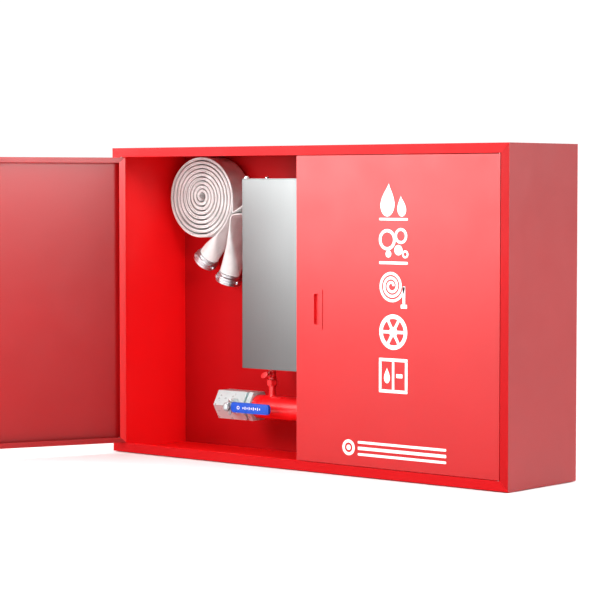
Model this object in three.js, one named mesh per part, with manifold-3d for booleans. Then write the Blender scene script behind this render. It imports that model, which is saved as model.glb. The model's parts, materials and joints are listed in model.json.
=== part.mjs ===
// Two-door foam hydrant cabinet that hangs on a wall, with its foam tank, water valve, hose and nozzle.
// Millimetres, +Z up. The origin is the centre of the back panel's outer face and the doors face -Y.
import * as THREE from "three";
import { mergeVertices } from "three/addons/utils/BufferGeometryUtils.js";
import Module from "manifold-3d";

// ---- driving dimensions ----
const WIDTH = 1200;
const HEIGHT = 750;
const DEPTH = 260;
const SHEET = 1.25; // steel sheet of the casing and the doors
const LIP = 22; // face band round the opening
const LIP_RETURN = 12; // fold behind the band
const WALL_BOLTS = { upper: [520, 300], lower: [430, -262], radius: 5 };
const FIT = 0.3; // gap left between pieces that touch

const DOOR_GAP = 1.5; // round each door, and half of it at the middle
const DOOR_THICK = 20;
const DOOR_LIP = { side: 16, end: 13 }; // folds on the inside face
const DOOR_OPEN_DEG = 113; // how far the left door stands open
// The pivot line is inset from the lip's edge, and back from the door's face.
const PIVOT = { inset: 5.5, back: 3.25, radius: 1.5, length: 7.5 };
const PIVOT_BLOCK = { width: 12.5, depth: 9.7, height: 10 };
const PULL = { fromEdge: 62.75, width: 32, height: 92, depth: 7, rim: 1.2, floor: 1.5 };
const PULL_RECESS = { width: 18, height: 71, wall: 3.5 };
const MAGNET = { length: 40, depth: 8, height: 8, fromEdge: 8 };

const TANK = { left: -251, width: 400, depth: 162, bottom: -156, height: 455.5, wall: 1.5, fromBack: 8 };
const TANK_LEDGE = { width: 20, depth: 5 }; // inward rim that the lid is bolted to
const LID = { thick: 2 };
const FILLER = { x: -30, radius: 30, bore: 26, flange: 36, neck: 14, cap: 38, capHeight: 20 };
const FILLER_WING = { halfWidth: 5, rise: 8 };
const LID_NUT = { inset: 9, rearLeftInset: 56, radius: 6.5, height: 8 };
const VENT = { x: -176, inset: 8, radius: 4.5, height: 5 };
const SHELF = { width: 40, depth: 130, leg: 70, thick: 3, x: [-100, 90] };
const TANK_CLIP = { fromFiller: 90, width: 60, reach: 40, rise: 35 };

const PIPE = { y: -120, z: -252, radius: 28.5, bore: 25, start: -254, end: 430 };
const ELBOW = { bend: 70, radius: 34, start: 412, straight: 18 };
const FLOOR_HOLE = 33;
const GROMMET = { neck: 32.7, rim: 38, lip: 3 };
const CLAMP = { width: 20, thick: 4, x: [10, 300], foot: 8, rib: 4, halfHeight: 30 };

const VALVE = { left: -355, right: -240, ball: -289.5, neck: -260.5, endPiece: -254 }; // along x
const VALVE_BODY = { flats: 69, collar: 31, socket: 24 };
const BALL = { radius: 24, bore: 17, seatReach: 18, slotDepth: 4 };
const BONNET = { radius: 14, top: -166 };
const SPINDLE = { radius: 6, beyondLever: 9, tang: 5.6 };
const GLAND = { flats: 24, height: 5.7 };
const LEVER = { plane: -177.5, thick: 3, length: 133.5, width: 19, hub: 11.5, ear: 20 };
const SLEEVE = { start: 12, width: 24.5, thick: 9, taper: 6 };
const LEVER_NUT = { flats: 19, height: 6.7 };

const FOAM = { x: -197, nutBottom: -199, bodyBottom: -184, bodyTop: -160, bodyRadius: 9.5, nutFlats: 22 };
const FOAM_WAY = 4; // radius of the way through the foam line
const FOAM_RISER = 9;
const FOAM_BALL = { radius: 6.4, bore: 3.5, boss: 6, bossLength: 14 };
const FOAM_STEM = 2.5;
const FOAM_HANDLE = { y: -146, width: 22, height: 16, thick: 4, hub: 5.5, hubRear: 3 };
const OUTLET = { radius: 9, flange: 12, thick: 1.7 };

const ROLL = { x: -474.5, y: -42, z: 254, radius: 103, width: 68 };
const PEG = { x: -471.5, z: 257, radius: 4, length: 48, plate: 44, plateThick: 3, eye: 5.5 };
const HOSE = { radius: 26, thick: 5.2 }; // round at its ends, flat where it leaves the roll
// Each end runs down from the roll, and the outer one has its slack folded before it drops.
const HOSE_ENDS = {
  inner: { start: [-406, 172], heading: 220, slack: [], bend: [-446, 139], mouth: [-476, 108] },
  outer: {
    start: [-368, 240],
    heading: 261,
    slack: [
      { go: 19 },
      { turn: 121, radius: 3.5 },
      { go: 36 },
      { turn: -204, radius: 10.7 },
      { go: 36 },
      { turn: 86, radius: 14 },
    ],
    bend: [-386, 118],
    mouth: [-406, 65],
  },
};
const COUPLING = { bore: 20, collar: 28.5, ring: 31.5, length: 26, neck: 7, chamfer: 3 };
const LUG = { count: 3, halfWidth: 4, radius: 35, from: -18, to: -11 };

const NOZZLE = { x: 350, y: -46, bottom: -135, radius: 24, wall: 3, clips: [-40, 190] };
const NOZZLE_CLIP = { gap: 0.5, thick: 2, height: 20, arm: 18, footWidth: 24, foot: 20 };

const FRONT = -DEPTH;
const RED = { color: 0xc8141c, roughness: 0.35, metalness: 0.1 };
const STEEL = { color: 0xc2c4c6, roughness: 0.35, metalness: 0.9 };
const CHROME = { color: 0xd8dadc, roughness: 0.2, metalness: 1.0 };
const ALLOY = { color: 0xb9bcbf, roughness: 0.4, metalness: 0.9 };
const BRASS = { color: 0xb8923f, roughness: 0.35, metalness: 0.9 };
const WHITE = { color: 0xe9e6e4, roughness: 0.8, metalness: 0.0 };
const BLUE = { color: 0x1e50d2, roughness: 0.45, metalness: 0.0 };
const BLACK = { color: 0x1d1d1f, roughness: 0.6, metalness: 0.0 };
const PTFE = { color: 0xf2f2ee, roughness: 0.5, metalness: 0.0 };

const wasm = await Module();
wasm.setup();

// ---- helpers ----
function solid(geometry) {
  const bare = geometry.index ? geometry.toNonIndexed() : geometry.clone();
  bare.deleteAttribute("normal");
  bare.deleteAttribute("uv");
  const merged = mergeVertices(bare, 1e-4);
  return new wasm.Manifold(
    new wasm.Mesh({
      numProp: 3,
      vertProperties: merged.attributes.position.array,
      triVerts: new Uint32Array(merged.index.array),
    }),
  );
}

function geometryOf(body) {
  const mesh = body.getMesh();
  const geometry = new THREE.BufferGeometry();
  geometry.setAttribute("position", new THREE.BufferAttribute(mesh.vertProperties, 3));
  geometry.setIndex(new THREE.BufferAttribute(mesh.triVerts, 1));
  return geometry;
}

function join(...geometries) {
  return geometryOf(geometries.map(solid).reduce((a, b) => a.add(b)));
}

function cut(geometry, ...tools) {
  return geometryOf(tools.map(solid).reduce((a, b) => a.subtract(b), solid(geometry)));
}

function box(x0, x1, y0, y1, z0, z1) {
  const geometry = new THREE.BoxGeometry(Math.abs(x1 - x0), Math.abs(y1 - y0), Math.abs(z1 - z0));
  return geometry.translate((x0 + x1) / 2, (y0 + y1) / 2, (z0 + z1) / 2);
}

// A cylinder from one end to the other along an axis, with its centre line at the other two coordinates.
function rod(axis, radius, from, to, centre, sides = 24) {
  const geometry = new THREE.CylinderGeometry(radius, radius, Math.abs(to - from), sides);
  const middle = (from + to) / 2;
  if (axis === "x") {
    return geometry.rotateZ(Math.PI / 2).rotateX(Math.PI / 2).translate(middle, centre[0], centre[1]);
  }
  if (axis === "z") {
    return geometry.rotateX(Math.PI / 2).translate(centre[0], centre[1], middle);
  }
  return geometry.translate(centre[0], middle, centre[1]);
}

// A hexagonal bar, by the size across its flats. Along x it has two corners level with its axis.
function hexRod(axis, flats, from, to, centre) {
  return rod(axis, flats / Math.sqrt(3), from, to, centre, 6);
}

// A ring or a stepped round piece about the z axis, from its profile of [radius, height] points.
function turned(profile, sides = 32) {
  const points = [...profile, profile[0]].map(([r, z]) => new THREE.Vector2(r, z));
  return new THREE.LatheGeometry(points, sides).rotateX(Math.PI / 2);
}

function ringShape(outer, inner, sides = 24) {
  const circle = (radius) => {
    const angles = [...Array(sides).keys()].map((i) => (2 * Math.PI * i) / sides);
    return angles.map((a) => new THREE.Vector2(radius * Math.cos(a), radius * Math.sin(a)));
  };
  const shape = new THREE.Shape(circle(outer));
  shape.holes.push(new THREE.Path(circle(inner)));
  return shape;
}

function faceOut(geometry) {
  const p = geometry.attributes.position;
  const [a, b, c] = [new THREE.Vector3(), new THREE.Vector3(), new THREE.Vector3()];
  let volume = 0;
  for (let i = 0; i < p.count; i += 3) {
    a.fromBufferAttribute(p, i);
    b.fromBufferAttribute(p, i + 1);
    c.fromBufferAttribute(p, i + 2);
    volume += a.dot(b.cross(c));
  }
  if (volume > 0) return geometry;
  for (let i = 0; i < p.count; i += 3) {
    a.fromBufferAttribute(p, i + 1);
    b.fromBufferAttribute(p, i + 2);
    p.setXYZ(i + 1, b.x, b.y, b.z);
    p.setXYZ(i + 2, a.x, a.y, a.z);
  }
  return geometry;
}

const part = new THREE.Group();

function piece(name, geometry, look, group = part) {
  geometry.computeVertexNormals();
  const mesh = new THREE.Mesh(geometry, new THREE.MeshStandardMaterial(look));
  mesh.name = name;
  group.add(mesh);
  return mesh;
}

// ---- casing ----
// One side of the casing: a wall, the face band and its fold, mitred at both ends.
// inward is the distance in from the outer face, and place turns (inward, y, along) into x, y, z.
function casingSide(half, place) {
  const profile = new THREE.Shape();
  profile.moveTo(0, FRONT);
  profile.lineTo(LIP, FRONT);
  profile.lineTo(LIP, FRONT + LIP_RETURN);
  profile.lineTo(LIP - SHEET, FRONT + LIP_RETURN);
  profile.lineTo(LIP - SHEET, FRONT + SHEET);
  profile.lineTo(SHEET, FRONT + SHEET);
  profile.lineTo(SHEET, -SHEET);
  profile.lineTo(0, -SHEET);
  profile.closePath();
  const geometry = new THREE.ExtrudeGeometry(profile, { depth: 1, bevelEnabled: false });
  const p = geometry.attributes.position;
  for (let i = 0; i < p.count; i++) {
    const inward = p.getX(i);
    const along = p.getZ(i) > 0.5 ? half - inward : inward - half;
    p.setXYZ(i, ...place(inward, p.getY(i), along));
  }
  return faceOut(geometry);
}

const pivotX = WIDTH / 2 - LIP - PIVOT.inset;
const pivotY = FRONT + PIVOT.back;
const pivotHoles = [-1, 1].map((side) =>
  rod("z", PIVOT.radius + FIT, -HEIGHT / 2 + 2, HEIGHT / 2 - 2, [side * pivotX, pivotY], 16),
);
const legX = ELBOW.start + ELBOW.straight + ELBOW.bend;
const boltHoles = [-1, 1].flatMap((side) =>
  [WALL_BOLTS.upper, WALL_BOLTS.lower].map(([x, z]) => rod("y", WALL_BOLTS.radius, -5, 5, [side * x, z])),
);

const backSheet = box(-WIDTH / 2, WIDTH / 2, -SHEET, 0, -HEIGHT / 2, HEIGHT / 2);
piece("back_panel", cut(backSheet, ...boltHoles), RED);
piece("left_panel", casingSide(HEIGHT / 2, (u, y, s) => [-WIDTH / 2 + u, y, s]), RED);
piece("right_panel", casingSide(HEIGHT / 2, (u, y, s) => [WIDTH / 2 - u, y, s]), RED);
piece("top_panel", cut(casingSide(WIDTH / 2, (u, y, s) => [s, y, HEIGHT / 2 - u]), ...pivotHoles), RED);
const supplyHole = rod("z", FLOOR_HOLE, -HEIGHT / 2 - 5, -HEIGHT / 2 + 5, [legX, PIPE.y], 32);
const floorPanel = casingSide(WIDTH / 2, (u, y, s) => [s, y, -HEIGHT / 2 + u]);
piece("bottom_panel", cut(floorPanel, ...pivotHoles, supplyHole), RED);

const floorTop = SHEET + FIT;
const grommetProfile = [
  [PIPE.radius + FIT, 0],
  [GROMMET.neck, 0],
  [GROMMET.neck, floorTop],
  [GROMMET.rim, floorTop],
  [GROMMET.rim, floorTop + GROMMET.lip],
  [PIPE.radius + FIT, floorTop + GROMMET.lip],
];
piece("supply_grommet", turned(grommetProfile).translate(legX, PIPE.y, -HEIGHT / 2), BLACK);

// ---- doors ----
// A door is drawn closed, about its own pivot line, with reach pointing from the pivot to the free edge.
function door(side, reach, openDeg) {
  const group = new THREE.Group();
  group.position.set(-reach * pivotX, pivotY, 0);
  group.rotation.z = (-reach * openDeg * Math.PI) / 180;
  part.add(group);

  const hingeEdge = DOOR_GAP - PIVOT.inset;
  const freeEdge = pivotX - DOOR_GAP / 2;
  const face = -PIVOT.back;
  const rear = face + DOOR_THICK;
  const top = HEIGHT / 2 - LIP - DOOR_GAP;
  const slab = (x0, x1, y0, y1, z0, z1) => box(reach * x0, reach * x1, y0, y1, z0, z1);

  const inside = top - SHEET;
  const pullX = freeEdge - PULL.fromEdge;
  const lipEnd = top - DOOR_LIP.end;
  const cupWidth = PULL_RECESS.width + 2 * PULL_RECESS.wall;
  const cupHeight = PULL_RECESS.height + 2 * PULL_RECESS.wall;
  const pullSlab = (width, height, y0, y1) =>
    slab(pullX - width / 2, pullX + width / 2, y0, y1, -height / 2, height / 2);
  const pan = cut(
    slab(hingeEdge, freeEdge, face, rear, -top, top),
    slab(hingeEdge + SHEET, freeEdge - SHEET, face + SHEET, rear - SHEET, -inside, inside),
    slab(hingeEdge + DOOR_LIP.side, freeEdge - DOOR_LIP.side, 0, rear + 1, -lipEnd, lipEnd),
    rod("z", PIVOT.radius + FIT, -top - 1, top + 1, [0, 0], 16),
    pullSlab(cupWidth + 2 * FIT, cupHeight + 2 * FIT, face - 1, face + SHEET + 1),
  );
  piece(side + "_door", pan, RED, group);

  const rim = face - FIT;
  const pull = cut(
    join(
      pullSlab(PULL.width, PULL.height, rim - PULL.rim, rim),
      pullSlab(cupWidth, cupHeight, rim - PULL.rim, rim + PULL.depth),
    ),
    pullSlab(PULL_RECESS.width, PULL_RECESS.height, rim - PULL.rim - 1, rim + PULL.depth - PULL.floor),
  );
  piece(side + "_pull_cup", pull, RED, group);

  const blockX = hingeEdge + SHEET + FIT;
  const blockY = face + SHEET + FIT;
  for (const [end, up] of [["top", 1], ["bottom", -1]]) {
    const foot = up * (inside - FIT);
    const block = slab(
      blockX,
      blockX + PIVOT_BLOCK.width,
      blockY,
      blockY + PIVOT_BLOCK.depth,
      foot - up * PIVOT_BLOCK.height,
      foot,
    );
    const pin = rod("z", PIVOT.radius, foot - up, foot + up * PIVOT.length, [0, 0], 16);
    piece(side + "_door_" + end + "_pivot", join(block, pin), STEEL, group);
  }
  const magnetX = freeEdge - MAGNET.fromEdge - MAGNET.length;
  const magnetTop = inside - FIT;
  const magnet = slab(
    magnetX,
    magnetX + MAGNET.length,
    blockY,
    blockY + MAGNET.depth,
    magnetTop - MAGNET.height,
    magnetTop,
  );
  piece(side + "_door_magnet", magnet, BLACK, group);
}
door("left", 1, DOOR_OPEN_DEG);
door("right", -1, 0);

// ---- foam tank ----
const tankRight = TANK.left + TANK.width;
const tankBack = -TANK.fromBack;
const tankFront = tankBack - TANK.depth;
const tankTop = TANK.bottom + TANK.height;
const bodyTop = tankTop - LID.thick - FIT;
const fillerY = (tankFront + tankBack) / 2;
// A block as long and as deep as the tank, less an inset all round.
const tankBlock = (inset, z0, z1) =>
  box(TANK.left + inset, tankRight - inset, tankFront + inset, tankBack - inset, z0, z1);
const tankShell = cut(
  tankBlock(0, TANK.bottom, bodyTop),
  tankBlock(TANK.wall, TANK.bottom + TANK.wall, bodyTop - TANK.wall),
  tankBlock(TANK_LEDGE.width, bodyTop - TANK_LEDGE.depth, bodyTop + 1),
  rod("z", FOAM_WAY + 2, TANK.bottom - 2, TANK.bottom + 4, [FOAM.x, PIPE.y]),
);
piece("tank_body", tankShell, STEEL);
const lidHole = rod("z", FILLER.bore, tankTop - 10, tankTop + 10, [FILLER.x, fillerY], 32);
piece("tank_lid", cut(tankBlock(0, tankTop - LID.thick, tankTop), lidHole), STEEL);
const nutPlaces = [
  ["front_left", TANK.left + LID_NUT.inset, tankFront + LID_NUT.inset],
  ["front_right", tankRight - LID_NUT.inset, tankFront + LID_NUT.inset],
  ["rear_left", TANK.left + LID_NUT.rearLeftInset, tankBack - LID_NUT.inset],
  ["rear_right", tankRight - LID_NUT.inset, tankBack - LID_NUT.inset],
];
const domeProfile = [
  [0, 0],
  [LID_NUT.radius, 0],
  [LID_NUT.radius, LID_NUT.height / 2],
  [LID_NUT.radius * 0.75, LID_NUT.height * 0.85],
  [0, LID_NUT.height],
];
for (const [place, x, y] of nutPlaces) {
  piece("lid_nut_" + place, turned(domeProfile, 16).translate(x, y, tankTop), STEEL);
}
const ventPoint = [VENT.x, tankFront + VENT.inset];
piece("vent_screw", rod("z", VENT.radius, tankTop, tankTop + VENT.height, ventPoint, 16), STEEL);

const neckProfile = [
  [FILLER.bore, 0],
  [FILLER.flange, 0],
  [FILLER.flange, 2],
  [FILLER.radius, 2],
  [FILLER.radius, FILLER.neck],
  [FILLER.bore, FILLER.neck],
];
piece("filler_neck", turned(neckProfile).translate(FILLER.x, fillerY, tankTop), STEEL);
const capWall = FILLER.radius + FIT;
const capRoof = FILLER.neck + FIT;
const capFoot = 4;
const capTop = capFoot + FILLER.capHeight;
const capProfile = [
  [0, capRoof],
  [capWall, capRoof],
  [capWall, capFoot],
  [FILLER.cap, capFoot],
  [FILLER.cap, capTop],
  [0, capTop],
];
const wing = FILLER_WING.halfWidth;
const capWing = box(-FILLER.cap, FILLER.cap, -wing, wing, capTop - 2, capTop + FILLER_WING.rise);
piece("filler_cap", join(turned(capProfile), capWing).translate(FILLER.x, fillerY, tankTop), BLACK);

SHELF.x.forEach((x, i) => {
  const seat = TANK.bottom - FIT;
  const wall = -SHEET - FIT;
  const x1 = x + SHELF.width;
  const gusset = new THREE.Shape();
  gusset.moveTo(wall, seat - SHELF.leg);
  gusset.lineTo(wall, seat);
  gusset.lineTo(wall - SHELF.depth, seat);
  gusset.lineTo(wall - SHELF.depth, seat - SHELF.thick);
  gusset.closePath();
  const web = new THREE.ExtrudeGeometry(gusset, { depth: SHELF.thick, bevelEnabled: false });
  web.rotateY(Math.PI / 2).rotateX(Math.PI / 2).translate(x, 0, 0);
  const shelf = join(
    box(x, x1, wall - SHELF.depth, wall, seat - SHELF.thick, seat),
    box(x, x1, wall - SHELF.thick, wall, seat - SHELF.leg, seat),
    web,
  );
  piece(["left_shelf", "right_shelf"][i], shelf, RED);
});

const clipX = FILLER.x + TANK_CLIP.fromFiller;
const clipEnd = clipX + TANK_CLIP.width;
const clipFoot = tankTop + FIT;
const clipWall = -SHEET - FIT;
const tankClip = join(
  box(clipX, clipEnd, -TANK_CLIP.reach, clipWall, clipFoot, clipFoot + SHELF.thick),
  box(clipX, clipEnd, clipWall - SHELF.thick, clipWall, clipFoot, tankTop + TANK_CLIP.rise),
);
piece("tank_clip", tankClip, RED);

// ---- water pipe, from the floor of the cabinet to the valve ----
const axis = [PIPE.y, PIPE.z];
const foamPort = rod("z", FOAM_WAY, PIPE.z, PIPE.z + 40, [FOAM.x, PIPE.y], 16);
const pipeRing = new THREE.ExtrudeGeometry(ringShape(PIPE.radius, PIPE.bore), {
  depth: PIPE.end - PIPE.start,
  bevelEnabled: false,
});
pipeRing.rotateY(Math.PI / 2).translate(PIPE.start, PIPE.y, PIPE.z);
piece("mixing_pipe", cut(pipeRing, foamPort), RED);

const bend = new THREE.CurvePath();
const bendStart = new THREE.Vector3(ELBOW.start, PIPE.y, PIPE.z);
const arcStart = new THREE.Vector3(ELBOW.start + ELBOW.straight, PIPE.y, PIPE.z);
const arcCorner = new THREE.Vector3(legX, PIPE.y, PIPE.z);
const arcEnd = new THREE.Vector3(legX, PIPE.y, PIPE.z - ELBOW.bend);
const bendEnd = new THREE.Vector3(legX, PIPE.y, PIPE.z - ELBOW.bend - ELBOW.straight);
bend.add(new THREE.LineCurve3(bendStart, arcStart));
bend.add(new THREE.QuadraticBezierCurve3(arcStart, arcCorner, arcEnd));
bend.add(new THREE.LineCurve3(arcEnd, bendEnd));
const elbow = new THREE.ExtrudeGeometry(ringShape(ELBOW.radius, PIPE.radius + FIT), {
  steps: 16,
  extrudePath: bend,
  bevelEnabled: false,
});
piece("supply_elbow", elbow, RED);
const legTop = PIPE.z - ELBOW.bend - 2;
const legRing = new THREE.ExtrudeGeometry(ringShape(PIPE.radius, PIPE.bore), {
  depth: legTop + HEIGHT / 2,
  bevelEnabled: false,
});
piece("supply_pipe", legRing.translate(legX, PIPE.y, -HEIGHT / 2), RED);

CLAMP.x.forEach((x, i) => {
  const inner = PIPE.radius + FIT;
  const wall = -SHEET - FIT;
  const [x0, x1] = [x - CLAMP.foot, x + CLAMP.width + CLAMP.foot];
  const tall = CLAMP.halfHeight;
  const band = join(
    rod("x", inner + CLAMP.thick, x, x + CLAMP.width, axis, 32),
    box(x, x + CLAMP.width, PIPE.y, wall, PIPE.z - CLAMP.rib, PIPE.z + CLAMP.rib),
    box(x0, x1, wall - CLAMP.thick, wall, PIPE.z - tall, PIPE.z + tall),
  );
  piece(["left_pipe_clamp", "right_pipe_clamp"][i], cut(band, rod("x", inner, x0, x1, axis, 32)), RED);
});

// ---- water ball valve ----
const socket = PIPE.radius + FIT;
const ballCentre = [VALVE.ball, PIPE.y, PIPE.z];
const seatBack = VALVE.ball - BALL.radius - 2;
const cavity = BALL.radius + 1;
const valveBody = cut(
  join(
    hexRod("x", VALVE_BODY.flats, VALVE.left, VALVE.neck, axis),
    rod("y", BONNET.radius, PIPE.y - 30, BONNET.top, [VALVE.ball, PIPE.z]),
  ),
  rod("x", socket, VALVE.left - 5, VALVE.left + VALVE_BODY.socket, axis, 32),
  rod("x", BALL.bore, VALVE.left, VALVE.ball, axis, 32),
  rod("x", cavity, seatBack, VALVE.neck + 5, axis, 32),
  rod("y", SPINDLE.radius + FIT, PIPE.y, BONNET.top - 5, [VALVE.ball, PIPE.z]),
);
piece("valve_body", valveBody, CHROME);
const spigotStart = VALVE.ball + BALL.radius + 2;
const endPiece = cut(
  join(
    rod("x", cavity - FIT, spigotStart, VALVE.neck + FIT + 1, axis, 32),
    rod("x", VALVE_BODY.collar, VALVE.neck + FIT, VALVE.endPiece + 1, axis, 32),
    hexRod("x", VALVE_BODY.flats, VALVE.endPiece, VALVE.right, axis),
  ),
  rod("x", BALL.bore, spigotStart - 5, VALVE.right, axis, 32),
  rod("x", socket, PIPE.start - 1, VALVE.right + 5, axis, 32),
);
piece("valve_end_piece", endPiece, CHROME);

const ballSphere = new THREE.SphereGeometry(BALL.radius, 28, 18).translate(...ballCentre);
const slotY = PIPE.y - BALL.radius + BALL.slotDepth;
const ball = cut(
  ballSphere,
  rod("x", BALL.bore, VALVE.ball - 40, VALVE.ball + 40, axis, 32),
  box(VALVE.ball - 8, VALVE.ball + 8, slotY, slotY - 20, PIPE.z - 2.5, PIPE.z + 2.5),
);
piece("valve_ball", ball, CHROME);
for (const [name, x] of [["left_seat", -1], ["right_seat", 1]]) {
  const near = VALVE.ball + x * (BALL.radius + 2 - FIT);
  const far = VALVE.ball + x * BALL.seatReach;
  const seat = cut(
    rod("x", cavity - FIT, near, far, axis, 32),
    rod("x", BALL.bore, VALVE.ball - 50, VALVE.ball + 50, axis, 32),
    new THREE.SphereGeometry(BALL.radius + 0.1, 28, 18).translate(...ballCentre),
  );
  piece(name, seat, PTFE);
}
const stemPoint = [VALVE.ball, PIPE.z];
const plateRear = LEVER.plane + LEVER.thick / 2;
const plateFront = LEVER.plane - LEVER.thick / 2;
const stemEnd = plateFront - SPINDLE.beyondLever;
const stemWay = rod("y", SPINDLE.radius + FIT, 0, stemEnd - 5, stemPoint);
// A flat bar in the lever's plane, by its reach along the lever, its half thickness and its half height.
const leverBar = (from, to, halfThick, halfHeight) =>
  box(
    VALVE.ball + from,
    VALVE.ball + to,
    LEVER.plane - halfThick,
    LEVER.plane + halfThick,
    PIPE.z - halfHeight,
    PIPE.z + halfHeight,
  );
const tang = box(
  VALVE.ball - SPINDLE.tang,
  VALVE.ball + SPINDLE.tang,
  slotY - FIT,
  PIPE.y - BALL.radius - 1,
  PIPE.z - 2,
  PIPE.z + 2,
);
const stem = join(rod("y", SPINDLE.radius, PIPE.y - BALL.radius - FIT, stemEnd, stemPoint), tang);
piece("valve_stem", stem, CHROME);
const glandRear = BONNET.top - FIT;
const gland = hexRod("y", GLAND.flats, glandRear, glandRear - GLAND.height, stemPoint);
piece("gland_nut", cut(gland, stemWay), CHROME);

const lever = cut(
  join(
    rod("y", LEVER.hub, plateRear, plateFront, stemPoint),
    leverBar(0, LEVER.length - 2, LEVER.thick / 2, LEVER.width / 2),
    leverBar(2, 10, LEVER.thick / 2, LEVER.ear),
  ),
  stemWay,
);
piece("valve_lever", lever, CHROME);
const sleeveBody = join(
  leverBar(SLEEVE.start + FIT, LEVER.length - SLEEVE.taper, SLEEVE.thick / 2, SLEEVE.width / 2),
  leverBar(SLEEVE.start + SLEEVE.taper, LEVER.length, SLEEVE.thick / 2, SLEEVE.width / 2 - 4),
);
const sleeveSlot = leverBar(0, LEVER.length - 2 + FIT, LEVER.thick / 2 + FIT, LEVER.width / 2 + FIT);
piece("lever_sleeve", cut(sleeveBody, sleeveSlot), BLUE);
const nutRear = plateFront - FIT;
const leverNut = hexRod("y", LEVER_NUT.flats, nutRear, nutRear - LEVER_NUT.height, stemPoint);
piece("lever_nut", cut(leverNut, stemWay), CHROME);

// ---- foam line: tank outlet, small ball valve, union nut and riser ----
const foamPoint = [FOAM.x, PIPE.y];
const foamMiddle = (FOAM.bodyBottom + FOAM.bodyTop) / 2;
const foamStemPoint = [FOAM.x, foamMiddle];
const foamWay = rod("z", FOAM_WAY, PIPE.z, FOAM.bodyBottom + 5, foamPoint);
const foamStemWay = rod("y", FOAM_STEM + FIT, PIPE.y, FOAM_HANDLE.y - 20, foamStemPoint, 16);
const outletProfile = [
  [FOAM_WAY, FOAM.bodyTop + FIT],
  [OUTLET.radius, FOAM.bodyTop + FIT],
  [OUTLET.radius, TANK.bottom - FIT - OUTLET.thick],
  [OUTLET.flange, TANK.bottom - FIT - OUTLET.thick],
  [OUTLET.flange, TANK.bottom - FIT],
  [FOAM_WAY, TANK.bottom - FIT],
];
piece("tank_outlet", turned(outletProfile, 24).translate(FOAM.x, PIPE.y, 0), RED);
const foamBody = cut(
  join(
    rod("z", FOAM.bodyRadius, FOAM.bodyBottom, FOAM.bodyTop, foamPoint),
    rod("y", FOAM_BALL.boss, PIPE.y, PIPE.y - FOAM_BALL.bossLength, foamStemPoint),
  ),
  new THREE.SphereGeometry(FOAM_BALL.radius + 0.4, 20, 14).translate(FOAM.x, PIPE.y, foamMiddle),
  rod("z", FOAM_BALL.bore, FOAM.bodyBottom - 5, FOAM.bodyTop + 5, foamPoint),
  foamStemWay,
);
piece("foam_valve_body", foamBody, RED);
const foamBall = cut(
  new THREE.SphereGeometry(FOAM_BALL.radius, 20, 14).translate(FOAM.x, PIPE.y, foamMiddle),
  rod("x", FOAM_BALL.bore, FOAM.x - 20, FOAM.x + 20, [PIPE.y, foamMiddle]),
);
piece("foam_valve_ball", foamBall, CHROME);
const foamStemStart = PIPE.y - FOAM_BALL.radius - FIT;
const foamStemEnd = FOAM_HANDLE.y - FOAM_HANDLE.thick - 1;
piece("foam_valve_stem", rod("y", FOAM_STEM, foamStemStart, foamStemEnd, foamStemPoint, 16), BRASS);
const handleFront = FOAM_HANDLE.y - FOAM_HANDLE.thick;
const handle = cut(
  join(
    rod("y", FOAM_HANDLE.hub, FOAM_HANDLE.y + FOAM_HANDLE.hubRear, handleFront, foamStemPoint),
    box(
      FOAM.x - FOAM_HANDLE.width / 2,
      FOAM.x + FOAM_HANDLE.width / 2,
      FOAM_HANDLE.y,
      handleFront,
      foamMiddle - FOAM_HANDLE.height / 2,
      foamMiddle + FOAM_HANDLE.height / 2,
    ),
  ),
  foamStemWay,
);
piece("foam_valve_handle", handle, RED);
const unionNut = hexRod("z", FOAM.nutFlats, FOAM.nutBottom, FOAM.bodyBottom - FIT, foamPoint);
piece("union_nut", cut(unionNut, foamWay), RED);
const riser = cut(
  rod("z", FOAM_RISER, PIPE.z, FOAM.nutBottom - FIT, foamPoint),
  foamWay,
  rod("x", PIPE.radius + FIT, FOAM.x - 20, FOAM.x + 20, axis, 24),
);
piece("foam_riser", riser, RED);

// ---- hose roll on its peg ----
const pegWall = -SHEET - FIT;
const pegPoint = [PEG.x, PEG.z];
const plateHalf = PEG.plate / 2;
const peg = join(
  box(
    PEG.x - plateHalf,
    PEG.x + plateHalf,
    pegWall - PEG.plateThick,
    pegWall,
    PEG.z - plateHalf,
    PEG.z + plateHalf,
  ),
  rod("y", PEG.radius, pegWall - 1, pegWall - PEG.length, pegPoint),
);
piece("hose_peg", peg, RED);
const rollFront = ROLL.y - ROLL.width / 2;
const roll = rod("y", ROLL.radius, rollFront, rollFront + ROLL.width, [ROLL.x, ROLL.z], 64);
piece("hose_roll", cut(roll, rod("y", PEG.eye, rollFront - 1, 0, pegPoint)), WHITE);

// The points of a hose end in the x, z plane: its slack in straight runs and turns, then one easy curve
// to its mouth.
function hoseRoute({ start, heading, slack, bend, mouth }) {
  const points = [new THREE.Vector2(...start)];
  let angle = (heading * Math.PI) / 180;
  for (const { go, turn, radius } of slack) {
    const count = go ? Math.ceil(go / 4) : Math.ceil(Math.abs(turn) / 15);
    const swing = go ? 0 : (turn * Math.PI) / 180 / count;
    const stride = go ? go / count : 2 * radius * Math.sin(Math.abs(swing) / 2);
    for (let i = 0; i < count; i++) {
      const facing = angle + swing / 2;
      const step = new THREE.Vector2(Math.cos(facing), Math.sin(facing)).multiplyScalar(stride);
      points.push(step.add(points[points.length - 1]));
      angle += swing;
    }
  }
  const last = points.pop();
  const drop = new THREE.QuadraticBezierCurve(last, new THREE.Vector2(...bend), new THREE.Vector2(...mouth));
  return [...points, ...drop.getSpacedPoints(12)];
}

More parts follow.
